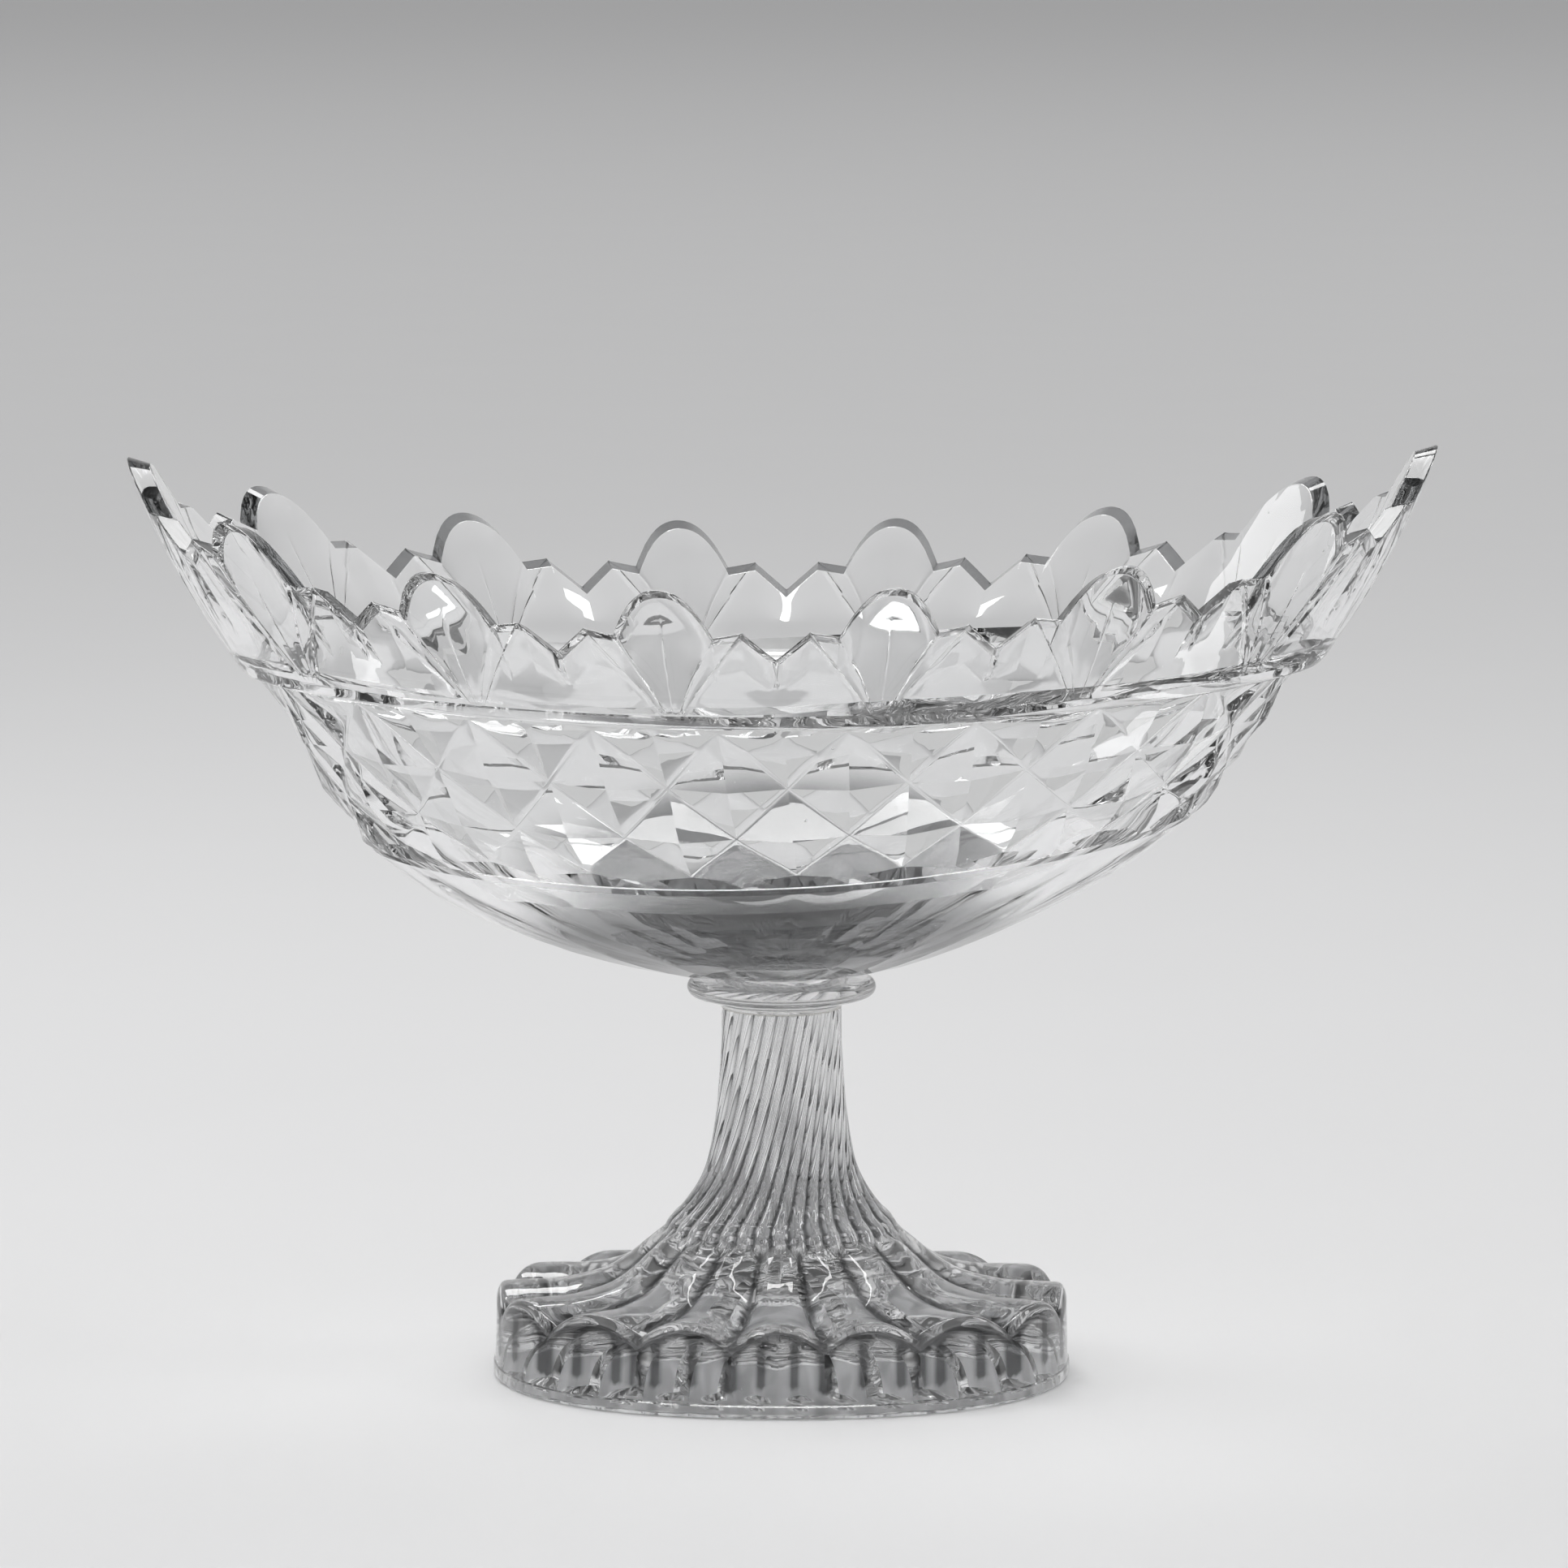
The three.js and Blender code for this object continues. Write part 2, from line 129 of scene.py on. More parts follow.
@dataclass(frozen=True)
class Oval:
    """Ellipse x = a sin(angle), y = -b cos(angle), walked evenly along its length."""

    half_length: float
    half_width: float

    def angle(self, share: np.ndarray) -> np.ndarray:
        """Angle at a share of the ellipse's length.

        Args:
            share: Shares of the way round, from the front towards +X.

        Returns:
            Angles in radians, from the summed lengths of short chords.
        """
        steps = np.linspace(0.0, 2.0 * math.pi, 2881)
        mid = 0.5 * (steps[1:] + steps[:-1])
        chords = np.hypot(self.half_length * np.cos(mid), self.half_width * np.sin(mid))
        lengths = np.concatenate([[0.0], np.cumsum(chords)])
        turns = np.floor(share)
        return np.interp(share - turns, lengths / lengths[-1], steps) + 2.0 * math.pi * turns


class Surface:
    """Collects points and triangles as arrays and makes one closed mesh of them."""

    def __init__(self) -> None:
        """Starts with no points and no triangles."""
        self._points: list[np.ndarray] = []
        self._faces: list[np.ndarray] = []
        self._kinds: list[np.ndarray] = []
        self._furrow_shade: list[np.ndarray] = []
        self._count = 0

    def add(self, points: np.ndarray, furrow: np.ndarray | float = 0.0) -> np.ndarray:
        """Adds points.

        Args:
            points: Array of any shape whose last axis is x, y, z in millimetres.
            furrow: How far each point lies in a furrow, from 0 to 1, which sets the shade painted there.

        Returns:
            Numbers of the points, in the same shape without the last axis.
        """
        flat = np.asarray(points, dtype=float).reshape(-1, 3)
        numbers = np.arange(len(flat)).reshape(np.shape(points)[:-1]) + self._count
        self._points.append(flat)
        self._furrow_shade.append(np.broadcast_to(furrow, numbers.shape).ravel())
        self._count += len(flat)
        return numbers

    def triangles(self, faces: np.ndarray, kind: Face = Face.GLASS) -> None:
        """Adds triangles.

        Args:
            faces: Array of three point numbers to a row, counter-clockwise from outside.
            kind: Kind of face.
        """
        self._faces.append(faces.reshape(-1, 3))
        self._kinds.append(np.full(len(faces.reshape(-1, 3)), kind.value))

    def strip(self, rings: np.ndarray, kind: Face = Face.GLASS) -> None:
        """Joins closed rings of equal length, each one further along the surface.

        Args:
            rings: Array of point numbers, one ring to a row.
            kind: Kind of face.
        """
        low = rings[:-1]
        high = rings[1:]
        low_next = np.roll(low, -1, axis=1)
        high_next = np.roll(high, -1, axis=1)
        self.triangles(np.stack([low, low_next, high_next], axis=-1), kind)
        self.triangles(np.stack([low, high_next, high], axis=-1), kind)

    def bridge(self, ring: np.ndarray, shares: np.ndarray, other: np.ndarray, others: np.ndarray) -> None:
        """Joins two closed rings of different length by walking both at once.

        Args:
            ring: Point numbers of the first ring.
            shares: Its shares of the way round, rising.
            other: Point numbers of the next ring.
            others: Its shares of the way round, rising.
        """
        ends = np.append(shares[1:], shares[0] + 1.0)
        other_ends = np.append(others[1:], others[0] + 1.0)
        first = np.concatenate([np.ones(len(ends), bool), np.zeros(len(other_ends), bool)])
        order = np.argsort(np.concatenate([ends, other_ends]), kind="stable")
        first = first[order]
        i = np.cumsum(first) - first
        j = np.cumsum(~first) - ~first
        here = ring[i % len(ring)]
        there = other[j % len(other)]
        moved = np.where(first, ring[(i + 1) % len(ring)], other[(j + 1) % len(other)])
        self.triangles(np.stack([here, moved, there], axis=-1))

    def cap(self, ring: np.ndarray, point: tuple[float, float, float], down: bool, kind: Face) -> None:
        """Closes a ring with triangles round one point.

        Args:
            ring: Point numbers of the ring.
            point: Middle of the cap in millimetres.
            down: True for a cap that looks down.
            kind: Kind of face.
        """
        middle = np.full(len(ring), self.add(np.array([point]))[0])
        following = np.roll(ring, -1)
        pair = (following, ring) if down else (ring, following)
        self.triangles(np.stack([*pair, middle], axis=-1), kind)

    def build(self, name: str, smooth_below: float) -> bpy.types.Object:
        """Makes the mesh object, with points that fall together welded.

        Args:
            name: Name of the object.
            smooth_below: Angle in degrees up to which edges are shaded smooth.

        Returns:
            The new object at the origin, linked to the scene.
        """
        points = np.concatenate(self._points) * MM
        faces = np.concatenate(self._faces)
        mesh = bpy.data.meshes.new(name)
        mesh.from_pydata(points, [], faces)
        mesh.polygons.foreach_set("material_index", np.concatenate(self._kinds).astype(np.int32))
        # Point attribute by which the glass paints shade.
        furrow = mesh.attributes.new(FURROW_SHADE, "FLOAT", "POINT")
        furrow.data.foreach_set("value", np.concatenate(self._furrow_shade).astype(np.float32))
        work = bmesh.new()
        work.from_mesh(mesh)
        bmesh.ops.remove_doubles(work, verts=work.verts, dist=2e-6)
        bmesh.ops.dissolve_degenerate(work, edges=work.edges, dist=1e-6)
        bmesh.ops.recalc_face_normals(work, faces=work.faces)
        loose = sum(1 for edge in work.edges if len(edge.link_faces) != 2)
        volume = work.calc_volume(signed=True)
        work.to_mesh(mesh)
        work.free()
        mesh.shade_smooth()
        mesh.set_sharp_from_angle(angle=math.radians(smooth_below))
        piece = bpy.data.objects.new(name, mesh)
        bpy.context.scene.collection.objects.link(piece)
        log.info("%s: %d faces, %d open edges, %.1f cm3", name, len(mesh.polygons), loose, volume * 1e6)
        return piece


class Nodes:
    """Short hand for adding and joining shader nodes."""

    def __init__(self, tree: bpy.types.NodeTree) -> None:
        """Keeps the tree.

        Args:
            tree: Node tree that new nodes go into.
        """
        self.tree = tree

    def add(self, kind: str, **settings: object) -> bpy.types.Node:
        """Adds a node.

        Args:
            kind: Blender's name of the node type.
            **settings: Properties to set on the node.

        Returns:
            The new node.
        """
        node = self.tree.nodes.new(kind)
        for key, value in settings.items():
            setattr(node, key, value)
        return node

    def link(self, source: bpy.types.NodeSocket, target: bpy.types.NodeSocket) -> None:
        """Joins two sockets.

        Args:
            source: Output socket.
            target: Input socket.
        """
        self.tree.links.new(source, target)

    def math(self, operation: str, first: object, second: object = 0.0) -> bpy.types.NodeSocket:
        """Adds a math node.

        Args:
            operation: Blender's name of the operation.
            first: Socket or number for the first input.
            second: Socket or number for the second input.

        Returns:
            The node's output.
        """
        node = self.add("ShaderNodeMath", operation=operation)
        for place, value in enumerate((first, second)):
            if isinstance(value, bpy.types.NodeSocket):
                self.link(value, node.inputs[place])
            else:
                node.inputs[place].default_value = value
        return node.outputs[0]

    def mix(self, factor: bpy.types.NodeSocket, first: object, second: object) -> bpy.types.NodeSocket:
        """Adds a mix of two colours.

        Args:
            factor: Share of the second colour.
            first: Socket or colour at the share 0.
            second: Socket or colour at the share 1.

        Returns:
            The mixed colour.
        """
        node = self.add("ShaderNodeMix", data_type="RGBA")
        self.link(factor, node.inputs["Factor"])
        for name, value in (("A", first), ("B", second)):
            if isinstance(value, bpy.types.NodeSocket):
                self.link(value, node.inputs[name])
            else:
                node.inputs[name].default_value = (*value, 1.0)
        return node.outputs["Result"]

    def noise(self, place: bpy.types.NodeSocket, scale: float, detail: float) -> bpy.types.NodeSocket:
        """Adds a noise.

        Args:
            place: Coordinates.
            scale: Waves to a metre.
            detail: Octaves.

        Returns:
            The noise's value.
        """
        node = self.add("ShaderNodeTexNoise")
        node.inputs["Scale"].default_value = scale
        node.inputs["Detail"].default_value = detail
        self.link(place, node.inputs["Vector"])
        return node.outputs["Fac"]

    def vector(
        self, operation: str, first: bpy.types.NodeSocket, second: tuple[float, float, float]
    ) -> bpy.types.NodeSocket:
        """Adds a vector operation.

        Args:
            operation: Blender's name of the operation.
            first: First vector.
            second: Second vector.

        Returns:
            The node's output.
        """
        node = self.add("ShaderNodeVectorMath", operation=operation)
        self.link(first, node.inputs[0])
        node.inputs[1].default_value = second
        return node.outputs[0]

    def length(self, vector: bpy.types.NodeSocket) -> bpy.types.NodeSocket:
        """Adds the length of a vector.

        Args:
            vector: The vector.

        Returns:
            Its length.
        """
        node = self.add("ShaderNodeVectorMath", operation="LENGTH")
        self.link(vector, node.inputs[0])
        return node.outputs["Value"]

    def ramp(
        self, value: bpy.types.NodeSocket, low: float, high: float, to: tuple[float, float]
    ) -> bpy.types.NodeSocket:
        """Adds a smooth map from one range to another.

        Args:
            value: Socket to map.
            low: Value that maps to the first end.
            high: Value that maps to the second end.
            to: The two ends.

        Returns:
            The mapped socket.
        """
        node = self.add("ShaderNodeMapRange", interpolation_type="SMOOTHSTEP")
        self.link(value, node.inputs["Value"])
        node.inputs["From Min"].default_value = low
        node.inputs["From Max"].default_value = high
        node.inputs["To Min"].default_value = to[0]
        node.inputs["To Max"].default_value = to[1]
        return node.outputs["Result"]


def glass_marks() -> bpy.types.NodeTree:
    """Marks that all the glass shares: waves, upright ripples of the mould, wiping marks and tiny seeds.

    Returns:
        Node group with inputs Wave, Ripple, Smudge and Seeds, and outputs Cloud, Cord, Roughness and Height.
    """
    group = bpy.data.node_groups.new("glass_marks", "ShaderNodeTree")
    sides = group.interface
    for name, value in (("Wave", 1.0), ("Ripple", 0.0), ("Smudge", 0.05), ("Seeds", 1.0)):
        socket = sides.new_socket(name, in_out="INPUT", socket_type="NodeSocketFloat")
        socket.default_value = value
    for name in ("Cloud", "ShadeStreak", "Roughness", "Height"):
        sides.new_socket(name, in_out="OUTPUT", socket_type="NodeSocketFloat")
    nodes = Nodes(group)
    given = nodes.add("NodeGroupInput")
    result = nodes.add("NodeGroupOutput")
    place = nodes.add("ShaderNodeTexCoord").outputs["Object"]

    wave = nodes.noise(place, 55.0, 1.0)
    ripple = nodes.noise(nodes.vector("MULTIPLY", place, (1.0, 1.0, 0.08)), 210.0, 0.5)
    cloud = nodes.noise(place, 16.0, 4.0)
    seed = nodes.add("ShaderNodeTexVoronoi")
    seed.inputs["Scale"].default_value = 70.0
    nodes.link(place, seed.inputs["Vector"])

    spot = nodes.ramp(seed.outputs["Distance"], 0.018, 0.03, (1.0, 0.0))
    spot = nodes.math("MULTIPLY", spot, given.outputs["Seeds"])
    smudge = nodes.ramp(cloud, 0.5, 0.75, (0.0, 1.0))
    smudge = nodes.math("MULTIPLY", smudge, given.outputs["Smudge"])
    rough = nodes.math("ADD", smudge, nodes.math("MULTIPLY", spot, 0.3))
    lift = nodes.math("MULTIPLY", wave, given.outputs["Wave"])
    lift = nodes.math("ADD", lift, nodes.math("MULTIPLY", ripple, given.outputs["Ripple"]))
    nodes.link(cloud, result.inputs["Cloud"])
    # The ripples also lay out the painted shade streaks.
    nodes.link(ripple, result.inputs["ShadeStreak"])
    nodes.link(rough, result.inputs["Roughness"])
    nodes.link(nodes.math("ADD", lift, nodes.math("MULTIPLY", spot, 0.6)), result.inputs["Height"])
    return group


@dataclass(frozen=True)
class SeamFinish:
    """Dull ring of old dirt in a weld, at a height in metres."""

    height: float
    spread: float = 0.0006
    colour: tuple[float, float, float] = (0.2, 0.18, 0.14)


@dataclass(frozen=True)
class PaintedShadeTint:
    """Painted shade: greyer tint where the glass is thick, inside an ellipsoid, in metres."""

    centre: tuple[float, float, float]
    reach: tuple[float, float, float]
    tint: tuple[float, float, float]


@dataclass(frozen=True)
class GlassFinish:
    """Clear glass: tint, polish, how strongly the shared marks show, and painted shade."""

    name: str
    tint: tuple[float, float, float] = (0.972, 0.974, 0.975)
    cloud_tint: tuple[float, float, float] = (0.945, 0.948, 0.95)
    ior: float = 1.545
    wave: float = 0.3
    ripple: float = 0.0
    wave_depth: float = 0.00012
    smudge: float = 0.03
    seeds: float = 1.0
    # Painted shade: dark streaks along the ripples and in the furrows, and their dark tint.
    shade_streaks: float = 0.0
    shade_streak_tint: tuple[float, float, float] = (0.05, 0.051, 0.053)
    shade: float = 0.15
    seam: SeamFinish | None = None
    # Painted shade: greyer tint in the thick glass.
    thick: PaintedShadeTint | None = None

    def material(self, marks: bpy.types.NodeTree) -> bpy.types.Material:
        """Makes the material.

        Args:
            marks: Node group of the marks that all the glass shares.

        Returns:
            Material with one Principled shader.
        """
        material = bpy.data.materials.new(self.name)
        material.use_nodes = True
        nodes = Nodes(material.node_tree)
        shader = material.node_tree.nodes["Principled BSDF"]
        shader.inputs["Transmission Weight"].default_value = 1.0
        shader.inputs["IOR"].default_value = self.ior
        group = nodes.add("ShaderNodeGroup", node_tree=marks)
        group.inputs["Wave"].default_value = self.wave
        group.inputs["Ripple"].default_value = self.ripple
        group.inputs["Smudge"].default_value = self.smudge
        group.inputs["Seeds"].default_value = self.seeds

        clouded = nodes.ramp(group.outputs["Cloud"], 0.4, 0.7, (0.0, 1.0))
        colour = nodes.mix(clouded, self.tint, self.cloud_tint)
        rough = group.outputs["Roughness"]
        # Painted shade: greyer where the glass is thick.
        if self.thick is not None:
            colour = self._add_painted_shade(nodes, colour)
        # Painted shade: dark upright streaks along the ripples, then dark furrows, a dark line under the lip
        # and wall streaks from the point attribute.
        if self.shade_streaks > 0.0:
            painted_streak = nodes.ramp(group.outputs["ShadeStreak"], 0.45, 0.65, (0.0, self.shade_streaks))
            colour = nodes.mix(painted_streak, colour, self.shade_streak_tint)
            deep = nodes.add("ShaderNodeAttribute", attribute_name=FURROW_SHADE).outputs["Fac"]
            colour = nodes.mix(nodes.ramp(deep, 0.1, 0.7, (0.0, 0.96)), colour, self.shade_streak_tint)
        if self.seam is not None:
            colour, rough = self._add_seam(nodes, colour, rough)
        bump = nodes.add("ShaderNodeBump")
        bump.inputs["Distance"].default_value = self.wave_depth
        nodes.link(group.outputs["Height"], bump.inputs["Height"])
        nodes.link(colour, shader.inputs["Base Color"])
        nodes.link(rough, shader.inputs["Roughness"])
        nodes.link(bump.outputs["Normal"], shader.inputs["Normal"])
        is_shadow = nodes.add("ShaderNodeLightPath").outputs["Is Shadow Ray"]
        passed = nodes.math("MULTIPLY", is_shadow, 1.0 - self.shade)
        nodes.link(nodes.math("SUBTRACT", 1.0, passed), shader.inputs["Alpha"])
        return material

    def _add_painted_shade(self, nodes: Nodes, colour: bpy.types.NodeSocket) -> bpy.types.NodeSocket:
        """Paints shade into the thick glass as a grey tint.

        Args:
            nodes: Nodes of the material.
            colour: Colour so far.

        Returns:
            Colour that goes over to the painted grey shade on the way into the ellipsoid.
        """
        place = nodes.add("ShaderNodeTexCoord").outputs["Object"]
        away = nodes.vector("SUBTRACT", place, self.thick.centre)
        away = nodes.length(nodes.vector("DIVIDE", away, self.thick.reach))
        return nodes.mix(nodes.ramp(away, 0.75, 1.1, (1.0, 0.0)), colour, self.thick.tint)

    def _add_seam(
        self, nodes: Nodes, colour: bpy.types.NodeSocket, rough: bpy.types.NodeSocket
    ) -> tuple[bpy.types.NodeSocket, bpy.types.NodeSocket]:
        """Lays the dull ring over the glass.

        Args:
            nodes: Nodes of the material.
            colour: Colour so far.
            rough: Roughness so far.

        Returns:
            Colour and roughness with the ring.
        """
        parts = nodes.add("ShaderNodeSeparateXYZ")
        nodes.link(nodes.add("ShaderNodeTexCoord").outputs["Object"], parts.inputs[0])
        away = nodes.math("ABSOLUTE", nodes.math("SUBTRACT", parts.outputs["Z"], self.seam.height))
        ring = nodes.ramp(away, 0.0, self.seam.spread, (0.8, 0.0))
        dirt = nodes.mix(ring, colour, self.seam.colour)
        return dirt, nodes.math("ADD", rough, nodes.math("MULTIPLY", ring, 0.5))


@dataclass(frozen=True)
class WeldFinish:
    """Face inside the fused glass, which light passes as if it weren't there."""

    name: str = "weld"

    def material(self) -> bpy.types.Material:
        """Makes the material.

        Returns:
            Material whose Principled shader has no cover.
        """
        material = bpy.data.materials.new(self.name)
        material.use_nodes = True
        shader = material.node_tree.nodes["Principled BSDF"]
        shader.inputs["Alpha"].default_value = 0.0
        shader.inputs["Base Color"].default_value = (0.95, 0.97, 0.97, 1.0)
        return material


@dataclass(frozen=True)
class Dressing:
    """Materials of a piece, in the order of Face, and what ties it to the frame."""

    materials: tuple[bpy.types.Material, ...]
    node: str
    slot: str

    def dress(self, piece: bpy.types.Object) -> None:
        """Gives a piece its materials and its place in the frame.

        Args:
            piece: Object that stands for the node.
        """
        for material in self.materials:
            piece.data.materials.append(material)
        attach(piece, "root")
        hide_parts(self.node)


def bowl_shape() -> np.ndarray:
    """Outline of the uncut bowl.

    Returns:
        Rows of half length, half width, height and end rise as shares of those at the band.
    """
    return np.array(
        [
            [0.215, 0.305, 0.013, 0.03],
            [0.354, 0.442, 0.063, 0.22],
            [0.5, 0.572, 0.142, 0.43],
            [0.642, 0.694, 0.249, 0.67],
            [0.783, 0.802, 0.425, 0.95],
            [0.839, 0.858, 0.562, 0.98],
            [0.898, 0.9145, 0.737, 1.0],
            [0.9565, 0.965, 0.9265, 0.9],
            [0.97, 0.9775, 0.952, 0.86],
            [1.0, 1.0, 1.0, 0.81],
        ]
    )


@dataclass
class BowlBlank:
    """Uncut bowl: a boat-shaped wall that all the cuts are measured from."""

    half_length: float = 144.8
    half_width: float = 71.3
    band_height: float = 77.6
    end_rise: float = 10.0
    base_half_length: float = 15.6
    base_half_width: float = 14.4
    flare_end: float = 0.71
    flare_side: float = 0.5
    lean: float = 0.011
    sag: float = 0.04
    arches: int = 14
    arch_spread: float = 0.06
    arch_edge: float = 0.22
    peak_place: float = 0.35
    arch_top: float = 18.4
    arch_corner: float = 5.9
    small_peak: float = 7.2
    rim_low: float = 15.2
    rim_sheer: float = 5.9
    rim_tip_sheer: float = 13.4

    def __post_init__(self) -> None:
        """Works out the outline rows and the even spacing round the band."""
        sizes = [self.half_length, self.half_width, self.band_height, self.end_rise]
        base = [[self.base_half_length, self.base_half_width, 0.0, 0.0]]
        self.rows = np.concatenate([base, bowl_shape() * sizes])
        self.band_row = float(len(self.rows) - 1)
        self.oval = Oval(self.half_length, self.half_width)

    def blank(self, share: np.ndarray, row: np.ndarray) -> np.ndarray:
        """Points of the uncut outside.

        Args:
            share: Shares of the way round.
            row: Row numbers; past the band's row, one row is one millimetre of height.

        Returns:
            Points (a s, -b c, z + rise s^2 + above + tilt a s), with s and c the sine and cosine of the
            even angle, the outline's a, b, z and rise at the row, and a and b flaring above the band.
        """
        share, row = np.broadcast_arrays(np.asarray(share, float), np.asarray(row, float))
        above = np.maximum(row - self.band_row, 0.0)
        a, b, z, rise = np.moveaxis(through_rows(self.rows, np.minimum(row, self.band_row)), -1, 0)
        angle = self.oval.angle(share)
        along = np.sin(angle)
        upright = above * (1.0 - 0.005 * above)
        x = (a + self.flare_end * upright) * along
        y = -(b + self.flare_side * upright) * np.cos(angle)
        low = np.clip(row / self.band_row, 0.0, 1.0)
        tilt = self.lean * np.minimum(2.0 * low, 1.0) + self.sag * np.sin(math.pi * low**0.6) ** 2
        height = Level.BOWL_BOTTOM.value + z + rise * along**2 + above + tilt * x
        return np.stack([x, y, height], axis=-1)

    def point(self, share: np.ndarray, row: np.ndarray, offset: np.ndarray) -> np.ndarray:
        """Points at a distance from the uncut outside.

        Args:
            share: Shares of the way round.
            row: Row numbers.
            offset: Distances in millimetres, negative into the glass.

        Returns:
            blank(share, row) + offset n, where n is the unit cross product of the steps round and up.
        """
        share, row, offset = np.broadcast_arrays(*(np.asarray(v, float) for v in (share, row, offset)))
        around = self.blank(share + 0.0005, row) - self.blank(share - 0.0005, row)
        up = self.blank(share, row + 0.02) - self.blank(share, np.maximum(row - 0.02, 0.0))
        normal = np.cross(around, up)
        normal /= np.linalg.norm(normal, axis=-1, keepdims=True)
        return self.blank(share, row) + offset[..., None] * normal

    def spread(self, place: np.ndarray) -> np.ndarray:
        """Shares of the way round at even places along the row of arches.

        Args:
            place: Even places, from 0 to 1 once round.

        Returns:
            p + k sin(4 pi p) / (4 pi), which makes the arches wider at the sides than at the ends.
        """
        return place + self.arch_spread * np.sin(4.0 * math.pi * place) / (4.0 * math.pi)

    def rim_height(self, place: np.ndarray) -> np.ndarray:
        """Height of the rim above the band.

        Args:
            place: Even places along the row of arches.

        Returns:
            Low height plus sheer 5.9 s^2 + 13.4 s^6, plus an arch top - drop (f / edge)^2.2 near the
            middle of each period, a straight step beside it and a small peak that falls to the valley.
        """
        period = place * self.arches
        away = np.abs(period - np.floor(period) - 0.5)
        along = np.sin(self.oval.angle(self.spread(place)))
        low = self.rim_low + self.rim_sheer * along**2 + self.rim_tip_sheer * along**6
        fall = np.minimum(away / self.arch_edge, 1.0) ** 2.2
        arch = self.arch_top - (self.arch_top - self.arch_corner) * fall
        across = (away - self.arch_edge) / (self.peak_place - self.arch_edge)
        step = self.arch_corner + (self.small_peak - self.arch_corner) * across
        peak = self.small_peak * (0.5 - away) / (0.5 - self.peak_place)
        return low + np.where(away <= self.arch_edge, arch, np.where(away <= self.peak_place, step, peak))


